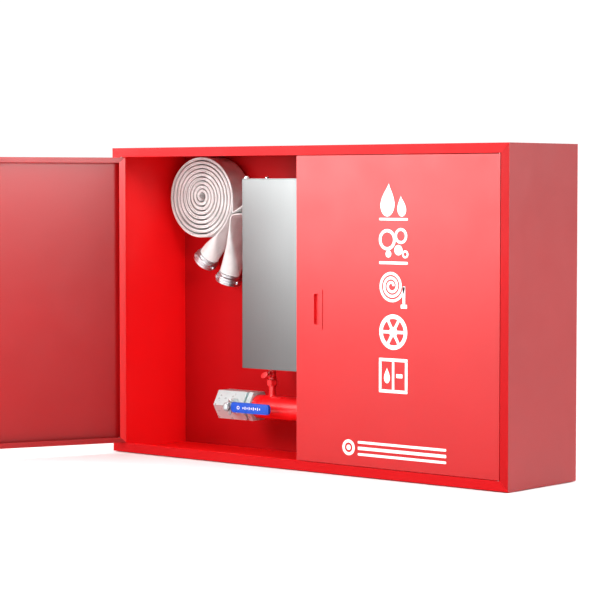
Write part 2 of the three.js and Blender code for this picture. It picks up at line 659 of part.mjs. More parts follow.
// A hose end that is flat at the first point of its route and opens to a round mouth over its last part.
function hoseEnd(end) {
  const route = hoseRoute(end);
  const rings = route.length - 1;
  const outward = new THREE.Vector2(...end.mouth).sub(new THREE.Vector2(...end.bend)).normalize();
  const opening = Math.max(rings - 12, 0);
  const geometry = new THREE.CylinderGeometry(1, 1, 1, 20, rings);
  const p = geometry.attributes.position;
  for (let i = 0; i < p.count; i++) {
    const k = Math.round((0.5 - p.getY(i)) * rings);
    const along = k === rings ? outward : route[k + 1].clone().sub(route[Math.max(k - 1, 0)]).normalize();
    const t = Math.max(k - opening, 0) / (rings - opening);
    const open = t * t * (3 - 2 * t);
    const wide = (ROLL.width / 2) * (1 - open) + HOSE.radius * open;
    const across = p.getX(i) * ((HOSE.thick / 2) * (1 - open) + HOSE.radius * open);
    p.setXYZ(i, route[k].x - along.y * across, ROLL.y + p.getZ(i) * wide, route[k].y + along.x * across);
  }
  return faceOut(geometry.toNonIndexed());
}

const couplingProfile = [
  [COUPLING.bore, -COUPLING.length],
  [COUPLING.ring - 2, -COUPLING.length],
  [COUPLING.ring, -COUPLING.length + COUPLING.chamfer],
  [COUPLING.ring, -COUPLING.neck - 2],
  [COUPLING.collar, -COUPLING.neck],
  [COUPLING.collar, -FIT],
  [COUPLING.bore, -FIT],
];
function couplingShape() {
  const lug = box(-LUG.halfWidth, LUG.halfWidth, COUPLING.ring - 2, LUG.radius, LUG.from, LUG.to);
  const turns = [...Array(LUG.count).keys()].map((i) => (2 * Math.PI * i) / LUG.count);
  return join(turned(couplingProfile), ...turns.map((turn) => lug.clone().rotateZ(turn)));
}
for (const [name, end] of Object.entries(HOSE_ENDS)) {
  piece(name + "_hose_end", hoseEnd(end), WHITE);
  const facing = [end.mouth[0] - end.bend[0], end.mouth[1] - end.bend[1]];
  const coupling = piece(name + "_coupling", couplingShape(), ALLOY);
  coupling.position.set(end.mouth[0], ROLL.y, end.mouth[1]);
  coupling.rotation.y = Math.atan2(-facing[0], -facing[1]);
}

// ---- foam nozzle in its two clips ----
const barrelProfile = [
  [18, 70],
  [20, 75],
  [NOZZLE.radius, 110],
  [NOZZLE.radius, 385],
  [NOZZLE.radius + NOZZLE.wall, 400],
  [NOZZLE.radius, 400],
  [NOZZLE.radius - NOZZLE.wall, 385],
  [NOZZLE.radius - NOZZLE.wall, 112],
  [10, 80],
  [10, 70],
];
piece("nozzle_barrel", turned(barrelProfile).translate(NOZZLE.x, NOZZLE.y, NOZZLE.bottom), ALLOY);
const inletProfile = [
  [COUPLING.bore, 0],
  [COUPLING.ring - 2, 0],
  [COUPLING.ring, 3],
  [COUPLING.ring, 20],
  [COUPLING.collar, 26],
  [18, 40],
  [18, 70 - FIT],
  [10, 70 - FIT],
  [10, 40],
  [COUPLING.bore, 25],
];
piece("nozzle_coupling", turned(inletProfile).translate(NOZZLE.x, NOZZLE.y, NOZZLE.bottom), ALLOY);
NOZZLE.clips.forEach((z, i) => {
  const inner = NOZZLE.radius + NOZZLE_CLIP.gap;
  const outer = inner + NOZZLE_CLIP.thick;
  const top = z + NOZZLE_CLIP.height;
  const foot = NOZZLE_CLIP.footWidth / 2;
  const wall = -SHEET - FIT;
  const clip = cut(
    join(
      rod("z", outer, z, top, [NOZZLE.x, NOZZLE.y], 32),
      box(NOZZLE.x - outer, NOZZLE.x + outer, NOZZLE.y - NOZZLE_CLIP.arm, NOZZLE.y, z, top),
      box(NOZZLE.x - foot, NOZZLE.x + foot, NOZZLE.y + NOZZLE_CLIP.foot, wall, z, top),
    ),
    rod("z", inner, z - 5, top + 5, [NOZZLE.x, NOZZLE.y], 32),
    box(NOZZLE.x - inner, NOZZLE.x + inner, NOZZLE.y - 40, NOZZLE.y, z - 5, top + 5),
  );
  piece(["lower_nozzle_clip", "upper_nozzle_clip"][i], clip, STEEL);
});

export default part;
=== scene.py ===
"""Two-door foam hydrant cabinet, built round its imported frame.

Metres, +Z up. The origin is the centre of the back panel's outer face, and the doors face -Y.
"""

import json
import random
from itertools import accumulate
from math import atan2, ceil, cos, degrees, pi, radians, sin, sqrt

import bmesh
import bpy
from mathutils import Matrix, Vector


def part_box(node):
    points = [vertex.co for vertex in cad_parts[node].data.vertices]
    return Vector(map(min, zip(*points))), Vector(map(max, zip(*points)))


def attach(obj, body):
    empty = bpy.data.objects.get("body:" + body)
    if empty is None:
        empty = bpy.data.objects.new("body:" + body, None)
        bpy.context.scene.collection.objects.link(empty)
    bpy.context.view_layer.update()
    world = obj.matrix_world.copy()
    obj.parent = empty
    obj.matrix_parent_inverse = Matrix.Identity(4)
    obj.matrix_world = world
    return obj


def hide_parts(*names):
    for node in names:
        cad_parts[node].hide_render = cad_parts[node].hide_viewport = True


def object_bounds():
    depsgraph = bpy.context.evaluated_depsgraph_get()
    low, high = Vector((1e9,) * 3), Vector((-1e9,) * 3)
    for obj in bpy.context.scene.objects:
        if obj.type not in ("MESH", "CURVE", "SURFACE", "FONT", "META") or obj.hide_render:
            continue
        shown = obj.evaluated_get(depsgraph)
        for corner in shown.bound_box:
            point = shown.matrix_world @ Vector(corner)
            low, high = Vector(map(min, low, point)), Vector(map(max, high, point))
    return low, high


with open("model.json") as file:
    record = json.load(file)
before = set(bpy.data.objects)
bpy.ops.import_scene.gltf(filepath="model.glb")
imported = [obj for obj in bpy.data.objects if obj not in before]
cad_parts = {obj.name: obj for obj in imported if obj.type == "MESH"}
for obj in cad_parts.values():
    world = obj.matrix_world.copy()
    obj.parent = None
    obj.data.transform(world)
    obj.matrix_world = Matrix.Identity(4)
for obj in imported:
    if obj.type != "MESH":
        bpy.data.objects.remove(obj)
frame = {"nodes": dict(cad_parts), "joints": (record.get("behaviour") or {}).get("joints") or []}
cad_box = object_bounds()
scene = bpy.context.scene

TURN = 2 * pi

# ---- driving dimensions ----
CAMERA = {"at": (3.4634, -4.2716, 0.284), "yaw": 40.712, "down": 2.861, "lens": 137.98}

STRAND = 0.0034  # thickness of the flat hose
PAIR = 0.0101  # from one turn of the doubled hose to the next
APART = 0.0035  # between the two strands of a turn
ROLL_OUT = 0.0961  # middle of the last turn
HOSE_WIDTH = 0.068
HOSE_MOUTH = 0.026  # radius where it opens over a coupling
FLARE = {"outer": 26, "inner": 24}  # steps of the route over which it opens
SWAYS, SWAY_LENGTH = 400, 0.11  # small sideways wander of the strand
PEEL = {"outer": radians(-10), "inner": radians(-50)}  # where the two ends leave the roll
HOSE_ENDS = {
    "inner": {"bend": (-0.446, 0.139), "mouth": (-0.476, 0.108)},
    "outer": {"bend": (-0.386, 0.118), "mouth": (-0.406, 0.065)},
}
SLACK = [("go", 0.018), (0.0035, 121), ("go", 0.036), (0.0107, -204), ("go", 0.036), (0.014, 86)]

MARK = {"left": 0.2415, "size": 0.088, "step": 0.0976, "top": 0.2935, "thick": 0.00025}
MARK_FOOT = {"left": 0.139, "right": 0.434, "z": -0.3105, "height": 0.036}

LIP_REACH = 0.022  # from a hinge's axis to the far edge of the lip beside it

ROOM = (  # axis, where the change starts and ends, light before and after it
    ("Y", (-0.25, 0.25), (0.25, 1.08)),
    ("Z", (0.15, 0.9), (1.0, 2.1)),
)
SOFTBOXES = (  # name, where it hangs, what it faces, size, radiance, what it does not light
    ("key", (-1.05, -1.6, 0.6), (0.15, -0.26, 0.1), (2.2, 0.6), 12.0, {"reflected": False}),
    ("front_sheen", (-1.05, -1.6, 0.52), (0.15, -0.26, 0.3), (2.2, 0.95), 12.0, {"diffuse": False}),
    ("left_sheen", (2.2, -0.45, 0.78), (-0.7, -0.5, 0.1), (1.8, 0.7), 36.0, {"diffuse": False}),
    ("inside", (2.1, -1.75, 1.55), (-0.55, -0.1, -0.1), (1.2, 1.0), 15.0,
     {"shielded": ("right_panel", "right_door", "left_door")}),
)

# ---- camera ----
camera = bpy.data.objects.new("camera", bpy.data.cameras.new("camera"))
scene.collection.objects.link(camera)
camera.data.lens = CAMERA["lens"]
camera.location = CAMERA["at"]
camera.rotation_euler = (radians(90 - CAMERA["down"]), 0, radians(CAMERA["yaw"]))
scene.camera = camera


# ---- materials ----
SPREAD = (0.3, 0.7)  # the part of a noise's range that is used


class Nodes:
    """A node tree, built a node at a time."""

    def __init__(self, owner):
        owner.use_nodes = True
        self.tree = owner.node_tree

    def node(self, kind, **settings):
        made = self.tree.nodes.new(kind)
        for name, value in settings.items():
            setattr(made, name, value)
        return made

    def join(self, source, target):
        self.tree.links.new(source, target)
        return source

    def math(self, operation, a, b=0.0):
        made = self.node("ShaderNodeMath", operation=operation)
        for socket, value in zip(made.inputs, (a, b)):
            if isinstance(value, (int, float)):
                socket.default_value = value
            else:
                self.join(value, socket)
        return made.outputs[0]

    def ranged(self, value, spread, low, high, **settings):
        made = self.node("ShaderNodeMapRange", **settings)
        for name, number in zip(("From Min", "From Max", "To Min", "To Max"), (*spread, low, high)):
            made.inputs[name].default_value = number
        self.join(value, made.inputs["Value"])
        return made.outputs["Result"]


class Look(Nodes):
    """A material for one slot of the record."""

    def __init__(self, slot, **sockets):
        self.material = bpy.data.materials.new(slot)
        super().__init__(self.material)
        self.material["slot"] = slot
        self.shader = self.tree.nodes["Principled BSDF"]
        for name, value in sockets.items():
            self.shader.inputs[name.replace("_", " ")].default_value = value

    def place(self, source="Object", stretch=(1, 1, 1)):
        where = self.node("ShaderNodeTexCoord")
        mapping = self.node("ShaderNodeMapping")
        mapping.inputs["Scale"].default_value = stretch
        self.join(where.outputs[source], mapping.inputs["Vector"])
        return mapping.outputs["Vector"]

    def noise(self, scale, detail=3, stretch=(1, 1, 1)):
        made = self.node("ShaderNodeTexNoise")
        made.inputs["Scale"].default_value = scale
        made.inputs["Detail"].default_value = detail
        self.join(self.place(stretch=stretch), made.inputs["Vector"])
        return made.outputs["Fac"]

    def colours(self, factor, low, high, spread=SPREAD):
        ramp = self.node("ShaderNodeValToRGB")
        for stop, place, colour in zip(ramp.color_ramp.elements, spread, (low, high)):
            stop.position = place
            stop.color = (*colour, 1)
        self.join(factor, ramp.inputs["Fac"])
        self.join(ramp.outputs["Color"], self.shader.inputs["Base Color"])

    def rough(self, factor, low, high):
        self.join(self.ranged(factor, SPREAD, low, high), self.shader.inputs["Roughness"])

    def bump(self, height, distance, strength=1.0):
        made = self.node("ShaderNodeBump")
        made.inputs["Distance"].default_value = distance
        made.inputs["Strength"].default_value = strength
        self.join(height, made.inputs["Height"])
        earlier = self.shader.inputs["Normal"].links
        if earlier:
            self.join(earlier[0].from_socket, made.inputs["Normal"])
        self.join(made.outputs["Normal"], self.shader.inputs["Normal"])


def finish(slot, low, high, rough, tint, grain, *bumps, **sockets):
    """A finish whose colour and roughness wander; each bump is a noise, its distance and its strength."""
    look = Look(slot, **sockets)
    look.colours(look.noise(*tint), low, high)
    look.rough(look.noise(*grain), *rough)
    for noise, distance, strength in bumps:
        look.bump(look.noise(*noise), distance, strength)
    return look.material


def red_paint(low, high, rough, gloss):
    return finish("red_paint", low, high, rough, (2.5, 4), (14, 5),
                  ((420, 2), 0.00003, 0.5), ((5, 1), 0.0012, 0.25), Specular_IOR_Level=gloss)


def stainless(low, high, rough):
    look = Look("stainless", Metallic=1.0, Anisotropic=0.2)
    grain = look.noise(1, 3, stretch=(900, 900, 5))
    look.colours(look.noise(3, 2), low, high)
    look.rough(grain, *rough)
    look.bump(grain, 0.00002, 0.6)
    return look.material


def plated(slot, low, high, rough, *bumps, metallic=1.0):
    fine = ((700, 2), 0.000004, 0.4)
    return finish(slot, low, high, rough, (35, 4), (90, 5), fine, *bumps, Metallic=metallic)


def hose_jacket():
    """A plain weave of polyester yarn, by the hose's length (u) and girth (v), with a little soiling."""
    look = Look("hose_jacket", Roughness=0.85, Sheen_Weight=0.25, Sheen_Roughness=0.5)
    apart = look.node("ShaderNodeSeparateXYZ")
    look.join(look.place("UV"), apart.inputs[0])
    along = look.math("SINE", look.math("MULTIPLY", apart.outputs[0], TURN / 0.0022))
    across = look.math("SINE", look.math("MULTIPLY", apart.outputs[1], TURN / 0.0028))
    weave = look.math("MULTIPLY", along, across)
    soil = look.math("ADD", look.math("MULTIPLY", weave, 0.06), look.noise(22, 5))
    look.colours(soil, (0.62, 0.6, 0.59), (0.84, 0.82, 0.81), (0.25, 0.6))
    look.bump(weave, 0.00025, 0.8)
    look.bump(look.noise(60, 3), 0.0006, 0.4)
    return look.material


def plastic(slot, low, high, rough, grain=500, depth=0.00004, **sockets):
    return finish(slot, low, high, rough, (9, 4), (45, 4), ((grain, 3), depth, 0.6), **sockets)


RED = red_paint((0.48, 0.004, 0.006), (0.54, 0.005, 0.008), (0.38, 0.46), 0.06)
# A darker copy of the casing paint for the right panel's outer side: painted shade.
SHADED_SIDE_RED = red_paint((0.37, 0.005, 0.007), (0.42, 0.006, 0.008), (0.38, 0.46), 0.55)
# A much brighter copy of the casing paint for the inner left wall and the inside floor: painted light.
LIT_WALL_RED = red_paint((0.92, 0.0045, 0.0065), (0.98, 0.0055, 0.0085), (0.38, 0.46), 0.26)
DOOR_RED = red_paint((0.52, 0.0045, 0.006), (0.58, 0.0055, 0.008), (0.36, 0.42), 0.3)
# A brighter copy of the door paint for the lip beside each door's hinge: painted highlight.
LIP_HIGHLIGHT_RED = red_paint((0.92, 0.0045, 0.006), (0.98, 0.0055, 0.008), (0.29, 0.35), 0.32)
# A darker copy of the door paint for the doors' inner faces: painted shade.
SHADED_INNER_RED = red_paint((0.42, 0.0045, 0.006), (0.47, 0.0055, 0.008), (0.29, 0.35), 0.22)
PIPE_RED = finish("red_paint", (0.8, 0.006, 0.008), (0.92, 0.01, 0.014), (0.26, 0.34), (6, 4), (30, 4),
                  ((260, 2), 0.00004, 0.6), ((14, 2), 0.0003, 0.2), Coat_Weight=0.35, Coat_Roughness=0.12)
# The tank's stainless is a much darker copy of the bright stainless below: painted shade that dims its
# reflections.
STAINLESS = stainless((0.135, 0.142, 0.142), (0.15, 0.157, 0.157), (0.4, 0.48))
BRIGHT_STAINLESS = stainless((0.62, 0.62, 0.62), (0.74, 0.74, 0.74), (0.2, 0.34))
NICKEL = plated("nickel", (0.53, 0.66, 0.66), (0.58, 0.72, 0.72), (0.27, 0.3), metallic=0.4)
ZINC = plated("zinc_steel", (0.3, 0.31, 0.32), (0.42, 0.43, 0.44), (0.25, 0.42))
ALLOY = plated("alloy", (0.46, 0.46, 0.48), (0.62, 0.62, 0.64), (0.28, 0.44), ((160, 3), 0.00003, 0.5))
BRASS = plated("brass", (0.5, 0.33, 0.1), (0.64, 0.44, 0.16), (0.22, 0.4))
JACKET = hose_jacket()
BLUE = plastic("blue_vinyl", (0.002, 0.055, 0.42), (0.003, 0.075, 0.54), (0.34, 0.46), Specular_IOR_Level=0.3)
BLACK = plastic("black_plastic", (0.01, 0.01, 0.011), (0.022, 0.022, 0.024), (0.42, 0.58))
RUBBER = plastic("rubber_black", (0.012, 0.012, 0.012), (0.03, 0.029, 0.028), (0.6, 0.8), 900)
SEAT = plastic("seat_plastic", (0.8, 0.8, 0.77), (0.88, 0.88, 0.86), (0.35, 0.5))
MAGNET = plastic("magnet", (0.02, 0.02, 0.023), (0.04, 0.04, 0.045), (0.45, 0.6))
WHITE = plastic("white_marks", (0.86, 0.85, 0.85), (0.93, 0.92, 0.92), (0.3, 0.4), 350, 0.00001)


SIDES = ("left", "right")

# ---- shapes ----
AXES = {
    "x": Matrix.Rotation(pi / 2, 4, "Y"),
    "front": Matrix.Rotation(pi / 2, 4, "X"),
    "z": Matrix.Identity(4),
}


def stitch(bm, ring, following):
    """Faces between two rings of vertices; either may be a single vertex."""
    count = max(len(ring), len(following))
    for i in range(count):
        j = (i + 1) % count
        around = [ring[i % len(ring)], ring[j % len(ring)]]
        around += [following[j % len(following)], following[i % len(following)]]
        corners = list(dict.fromkeys(around))
        if len(corners) > 2:
            bm.faces.new(corners)


def mm(*points):
    """Points of an outline that are given in millimetres."""
    return [(x / 1000, y / 1000) for x, y in points]


def about(sides):
    return [TURN * i / sides for i in range(sides)]


def arc(angles, radius, x=0.0, y=0.0):
    return [(x + radius * cos(a), y + radius * sin(a)) for a in angles]


def disc(x, y, radius, sides=40):
    return arc(about(sides), radius, x, y)


def turned(profile, sides=64):
    """A closed outline of (radius, height) turned about the z axis."""
    bm = bmesh.new()
    rings = []
    for radius, height in profile:
        if radius < 1e-6:
            rings.append([bm.verts.new((0, 0, height))])
            continue
        rings.append([bm.verts.new((x, y, height)) for x, y in arc(about(sides), radius)])
    for ring, following in zip(rings, rings[1:] + rings[:1]):
        if len(ring) + len(following) > 2:
            stitch(bm, ring, following)
    return bm


def solid(low, *steps):
    """The outline of a round solid from low up; each step is a radius and the height it goes up to."""
    outline = [(0, low)]
    for radius, high in steps:
        outline += [(radius, outline[-1][1]), (radius, high)]
    return [*outline, (0, high)]


def rod(radius, low, high, sides=64):
    return turned(solid(low, (radius, high)), sides)


def lathe(profile, ease, sides=64):
    return turned(eased(profile, ease), sides)


def bored_ball(radius, bore, reach, steps, sides, bore_sides):
    """A ball with a hole through it along x."""
    rim = arc([pi * (i / steps - 0.5) for i in range(1, steps)], radius)
    sphere = turned([(0, -radius), *rim, (0, radius)], sides)
    return boolean(sphere, placed(rod(bore, -reach, reach, bore_sides), axis="x"))


def bent(a, b, c, t):
    """A point of the curve from a to c that is drawn towards b."""
    return tuple((1 - t) ** 2 * a + 2 * t * (1 - t) * b + t * t * c)


def eased(outline, radius, steps=3):
    """The same closed outline with its corners rounded, except those on the axis of a turned piece."""
    points = []
    for i, here in enumerate(outline):
        if here[0] == 0:
            points.append(here)
            continue
        corner = Vector(here)
        back = Vector(outline[i - 1]) - corner
        on = Vector(outline[(i + 1) % len(outline)]) - corner
        cut = min(radius, 0.45 * back.length, 0.45 * on.length)
        start, end = corner + back.normalized() * cut, corner + on.normalized() * cut
        points += [bent(start, corner, end, k / steps) for k in range(steps + 1)]
    return points


def bar(x0, x1, y0, y1, radius=0.004, steps=4):
    """The outline of a rectangle with rounded corners."""
    return eased([(x0, y0), (x1, y0), (x1, y1), (x0, y1)], radius, steps)


def plate_outline(width, height, radius):
    return bar(-width / 2, width / 2, -height / 2, height / 2, radius, 5)


def prism(outline, low, high, ease=0.0, steps=2):
    """An outline in x, y drawn up from low to high, with eased ends."""
    bm = bmesh.new()
    foot = [bm.verts.new((x, y, low)) for x, y in outline]
    top = [bm.verts.new((x, y, high)) for x, y in outline]
    ends = [bm.faces.new(foot[::-1]), bm.faces.new(top)]
    stitch(bm, foot, top)
    if ease:
        rims = list({edge for face in ends for edge in face.edges})
        bmesh.ops.bevel(bm, geom=rims, offset=ease, segments=steps, affect="EDGES", profile=0.5)
    return bm


def block(low, high, ease=0.0005, steps=2):
    bm = bmesh.new()
    bmesh.ops.create_cube(bm, size=1)
    low, high = Vector(low), Vector(high)
    bm.transform(Matrix.Translation((low + high) / 2) @ Matrix.Diagonal((*(high - low), 1)))
    if ease:
        bmesh.ops.bevel(bm, geom=bm.edges[:], offset=ease, segments=steps, affect="EDGES", profile=0.5)
    return bm


def swept(rings):
    """A skin over rings of points, closed at its ends, with UVs by its length and girth in metres."""
    bm = bmesh.new()
    layer = bm.loops.layers.uv.new("UVMap")
    rows = [[bm.verts.new(point) for point in ring] for ring in rings]
    waist = rings[len(rings) // 2]
    reach = distances([sum(ring, Vector()) / len(ring) for ring in rings])
    girth = distances(waist + waist[:1])
    count = len(waist)
    for k in range(len(rows) - 1):
        for i in range(count):
            j = (i + 1) % count
            face = bm.faces.new((rows[k][i], rows[k][j], rows[k + 1][j], rows[k + 1][i]))
            spots = ((k, i), (k, i + 1), (k + 1, i + 1), (k + 1, i))
            for loop, (row, step) in zip(face.loops, spots):
                loop[layer].uv = (reach[row], girth[step])
    bm.faces.new(rows[0][::-1])
    bm.faces.new(rows[-1])
    return bm


def distances(points):
    """How far along a path each of its points is."""
    return [0.0, *accumulate((on - here).length for here, on in zip(points, points[1:]))]


def heading(points, k):
    """Which way a path goes at its point k."""
    return (points[min(k + 1, len(points) - 1)] - points[max(k - 1, 0)]).normalized()


def circle_frames(points):
    """For each point of a path, two directions across it that turn with it as little as they can."""
    side = None
    for k, point in enumerate(points):
        ahead = heading(points, k)
        if side is None:
            side = ahead.orthogonal().normalized()
        side = (side - ahead * side.dot(ahead)).normalized()
        yield point, side, ahead.cross(side)


def tube(points, radius, sides=24):
    """A round bar along a path; radius is one number or one for each point."""
    radii = radius if isinstance(radius, list) else [radius] * len(points)
    rings = []
    for (point, side, up), size in zip(circle_frames(points), radii):
        rings.append([point + size * (cos(a) * side + sin(a) * up) for a in about(sides)])
    return swept(rings)


def strap(outline, low, high, thick, ease=0.0):
    """A strip of sheet bent along an open outline in x, y, and as wide as low to high along z."""
    points = [Vector(point) for point in outline]
    left, right = [], []
    for k, point in enumerate(points):
        ahead = heading(points, k)
        across = Vector((-ahead.y, ahead.x)) * thick / 2
        left.append(tuple(point + across))
        right.append(tuple(point - across))
    return prism(right + left[::-1], low, high, ease)


def placed(bm, at=(0, 0, 0), axis="z", turn=0.0):
    bm.transform(Matrix.Translation(at) @ AXES[axis] @ Matrix.Rotation(turn, 4, "Z"))
    return bm


def ring_of(count, start, *sizes):
    """A block repeated round the z axis."""
    return [placed(block(*sizes), turn=TURN * (i + start) / count) for i in range(count)]


def together(*shapes):
    """Several shapes as one mesh."""
    whole = bmesh.new()
    for shape in shapes:
        mesh = bpy.data.meshes.new("shape")
        shape.to_mesh(mesh)
        shape.free()
        whole.from_mesh(mesh)
        bpy.data.meshes.remove(mesh)
    return whole


def outwards(bm):
    bmesh.ops.recalc_face_normals(bm, faces=bm.faces)
    return bm


def shown(name, bm):
    """A shape as an object of the scene."""
    mesh = bpy.data.meshes.new(name)
    bm.to_mesh(mesh)
    bm.free()
    obj = bpy.data.objects.new(name, mesh)
    scene.collection.objects.link(obj)
    return obj


def boolean(shape, tool, operation="DIFFERENCE"):
    """shape cut by, joined to or kept within tool."""
    bodies = [shown("boolean", outwards(bm)) for bm in (shape, tool)]
    change = bodies[0].modifiers.new("boolean", "BOOLEAN")
    change.object, change.operation, change.solver = bodies[1], operation, "EXACT"
    bpy.context.view_layer.update()
    result = bmesh.new()
    result.from_object(bodies[0], bpy.context.evaluated_depsgraph_get())
    for body in bodies:
        bpy.data.objects.remove(body)
    return result


def soften(obj, width, segments=2, angle=30):
    weld = obj.modifiers.new("weld", "WELD")
    weld.merge_threshold = 0.00001
    bevel = obj.modifiers.new("edges", "BEVEL")
    bevel.width, bevel.segments, bevel.limit_method = width, segments, "ANGLE"
    bevel.angle_limit = radians(angle)
    bevel.harden_normals = True
    flat = obj.modifiers.new("normals", "WEIGHTED_NORMAL")
    flat.weight = 100


def piece(name, bm, material, body, *stands_for, ease=0.0, sharp=35):
    """A shown piece that rides on a body and may stand for CAD nodes."""
    obj = shown(name, outwards(bm))
    obj.data.materials.append(material)
    obj.data.shade_smooth()
    obj.data.set_sharp_from_angle(angle=radians(sharp))
    if ease:
        soften(obj, ease)
    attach(obj, body)
    if stands_for:
        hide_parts(*stands_for)
    return obj


def fixed(name, bm, material, *stands_for, **edges):
    return piece(name, bm, material, "cabinet", *stands_for, **edges)


def middle(node):
    low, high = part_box(node)
    return (low + high) / 2


def backing(node):
    """The middle of a node's rear side."""
    low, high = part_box(node)
    return Vector(((low.x + high.x) / 2, high.y, (low.z + high.z) / 2))


def span(node):
    low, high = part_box(node)
    return [end - start for start, end in zip(low, high)]


def footing(node):
    """The middle of a node's underside."""
    at = middle(node)
    at.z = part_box(node)[0].z
    return at


# ---- hose ----
roll_y = middle("hose_roll").y
peg_low, peg_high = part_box("hose_peg")
PEG_RADIUS = 0.004
peg_at = backing("hose_peg")


def path_point(flat):
    return Vector((flat[0], roll_y, flat[1]))


def roll_point(radius, angle, aside):
    """A point of the roll about its peg. The turns sit tight above the peg and hang looser below it."""
    share = 1.082 - 0.0335 * cos(angle) - 0.0675 * sin(angle) + 0.0145 * cos(2 * angle)
    reach = radius * share + aside
    return (peg_at.x + reach * cos(angle), peg_at.z + reach * sin(angle))


ROLL_IN = PEG_RADIUS + 0.0008 + STRAND
TURNS = (ROLL_OUT - ROLL_IN) / PAIR


def strand(side, leaves_at):
    """One of the roll's two strands, from the fold beside the peg outwards, clockwise."""
    start = PEEL["outer"] + TURNS * TURN
    wound = start - leaves_at
    count = ceil(degrees(wound) / 6)
    spots = [wound * i / count for i in range(count + 1)]
    return [roll_point(ROLL_IN + PAIR * w / TURN, start - w, side * APART / 2) for w in spots]


def slack_points(start, angle):
    points = [Vector(start)]
    for first, second in SLACK:
        if first == "go":
            count, swing = max(1, round(second / 0.004)), 0.0
            stride = second / count
        else:
            count = ceil(abs(second) / 10)
            swing = radians(second) / count
            stride = 2 * first * sin(abs(swing) / 2)
        for _ in range(count):
            facing = angle + swing / 2
            points.append(points[-1] + stride * Vector((cos(facing), sin(facing))))
            angle += swing
    return [tuple(point) for point in points[1:]]


def drop(start, bend, mouth, count=26):
    a, b, c = Vector(start), Vector(bend), Vector(mouth)
    return [bent(a, b, c, k / count) for k in range(1, count + 1)]


def hose_route():
    """The hose's centre line from its outer mouth round the roll to its inner mouth, in x and z."""
    outer = strand(1, PEEL["outer"])
    inner = strand(-1, PEEL["inner"])
    leaving = Vector(outer[-1]) - Vector(outer[-2])
    slack = slack_points(outer[-1], atan2(leaving.y, leaving.x))
    tail = slack + drop(slack[-1], **HOSE_ENDS["outer"])
    inner_tail = drop(inner[-1], **HOSE_ENDS["inner"])
    centre = (Vector(outer[0]) + Vector(inner[0])) / 2
    radial = Vector(outer[0]) - centre
    ahead = Vector((-radial.y, radial.x))
    turns = [pi * k / 8 for k in range(1, 8)]
    fold = [tuple(centre + radial * cos(a) + ahead * sin(a)) for a in turns]
    return tail[::-1] + outer[::-1] + fold + inner + inner_tail


def section(half_width, half_thick, arcs=9, flats=6):
    """A flattened round: two half circles joined by straights, as (thickness, width) pairs."""
    straight = half_width - half_thick
    points = []
    for end in (1, -1):
        for i in range(arcs):
            angle = pi * i / (arcs - 1)
            points.append((end * half_thick * cos(angle), end * (straight + half_thick * sin(angle))))
        for i in range(1, flats + 1):
            points.append((-end * half_thick, end * straight * (1 - 2 * i / (flats + 1))))
    return points


def hose():
    route = [Vector(spot) for spot in hose_route()]
    rng = random.Random(11)
    sway = [rng.uniform(-1, 1) for _ in range(SWAYS)]
    rings = []
    gone = distances(route)
    last = len(route) - 1
    for k, flat in enumerate(route):
        ahead = heading(route, k)
        across = Vector((-ahead.y, 0, ahead.x))
        to_mouth = min(k / FLARE["outer"], (last - k) / FLARE["inner"], 1.0)
        opened = (1 - to_mouth) ** 2 * (1 + 2 * to_mouth)
        half_thick = STRAND / 2 + (HOSE_MOUTH - STRAND / 2) * opened
        half_width = HOSE_WIDTH / 2 + (HOSE_MOUTH - HOSE_WIDTH / 2) * opened
        spot = gone[k] / SWAY_LENGTH
        i = int(spot) % (SWAYS - 1)
        swing = sway[i] * (1 - spot % 1) + sway[i + 1] * (spot % 1)
        centre = path_point(flat) + Vector((0, 0.0012 * swing * min(1, to_mouth * 2), 0))
        rings.append([centre + across * t + Vector((0, w, 0)) for t, w in section(half_width, half_thick)])
    ends = [which + "_hose_end" for which in ("inner", "outer")]
    roll = piece("hose", swept(rings), JACKET, "hose", "hose_roll", *ends, sharp=60)


hose()


def coupling(name):
    """A cast hose coupling: a ribbed collar, a ring with grooves and lugs, and a rubber-lined mouth."""
    end = HOSE_ENDS[name]
    profile = eased(
        mm(
            (20.5, -0.5), (27.6, -0.5), (28.6, -1.8), (27.6, -3.1), (28.6, -4.4),
            (27.6, -5.7), (28.6, -6.8), (30.5, -8), (31.5, -9.2), (31.5, -13),
            (29.8, -13.8), (29.8, -15.2), (31.5, -16), (31.5, -19.8), (29.8, -20.6),
            (29.8, -21.6), (31, -22.4), (31, -25), (29.8, -26), (26.2, -26),
            (25.6, -25), (24.6, -20), (20, -19.6),
        ),
        0.0006,
    )
    shapes = [turned(profile, 96)]
    shapes += ring_of(3, 0.25, (-0.0045, 0.0288, -0.018), (0.0045, 0.035, -0.0105), 0.0012, 3)
    shapes += ring_of(3, 0.75, (-0.006, 0.025, -0.0256), (0.006, 0.0285, -0.0225), 0.0006)
    gasket = lathe(mm((20.5, -20.1), (24.3, -20.4), (24.3, -22.6), (21.5, -23.8)), 0.0005)
    facing = Vector(end["mouth"]) - Vector(end["bend"])
    lean = Matrix.Rotation(atan2(-facing.x, -facing.y), 4, "Y")
    put = Matrix.Translation(path_point(end["mouth"])) @ lean
    ring = together(*shapes)
    for shape in (ring, gasket):
        shape.transform(put)
    piece(name + "_coupling_ring", ring, ALLOY, "hose", name + "_coupling", sharp=30)
    piece(name + "_coupling_gasket", gasket, RUBBER, "hose")


for which in HOSE_ENDS:
    coupling(which)


def hose_peg():
    side = peg_high.x - peg_low.x
    reach = peg_high.y - peg_low.y
    plate = placed(prism(plate_outline(side, side, 0.006), 0, 0.003, 0.0006), peg_at, "front")
    pin = turned(
        eased([(0, 0.001), (PEG_RADIUS + 0.0025, 0.001), (PEG_RADIUS + 0.0025, 0.004), (PEG_RADIUS, 0.0065),
               (PEG_RADIUS, reach - 0.003), (PEG_RADIUS - 0.0008, reach), (0, reach)], 0.001)
    )
    fixed("peg", together(plate, placed(pin, peg_at, "front")), RED, "hose_peg")


hose_peg()


# ---- casing ----
hinges = {joint["name"]: joint for joint in frame["joints"]}


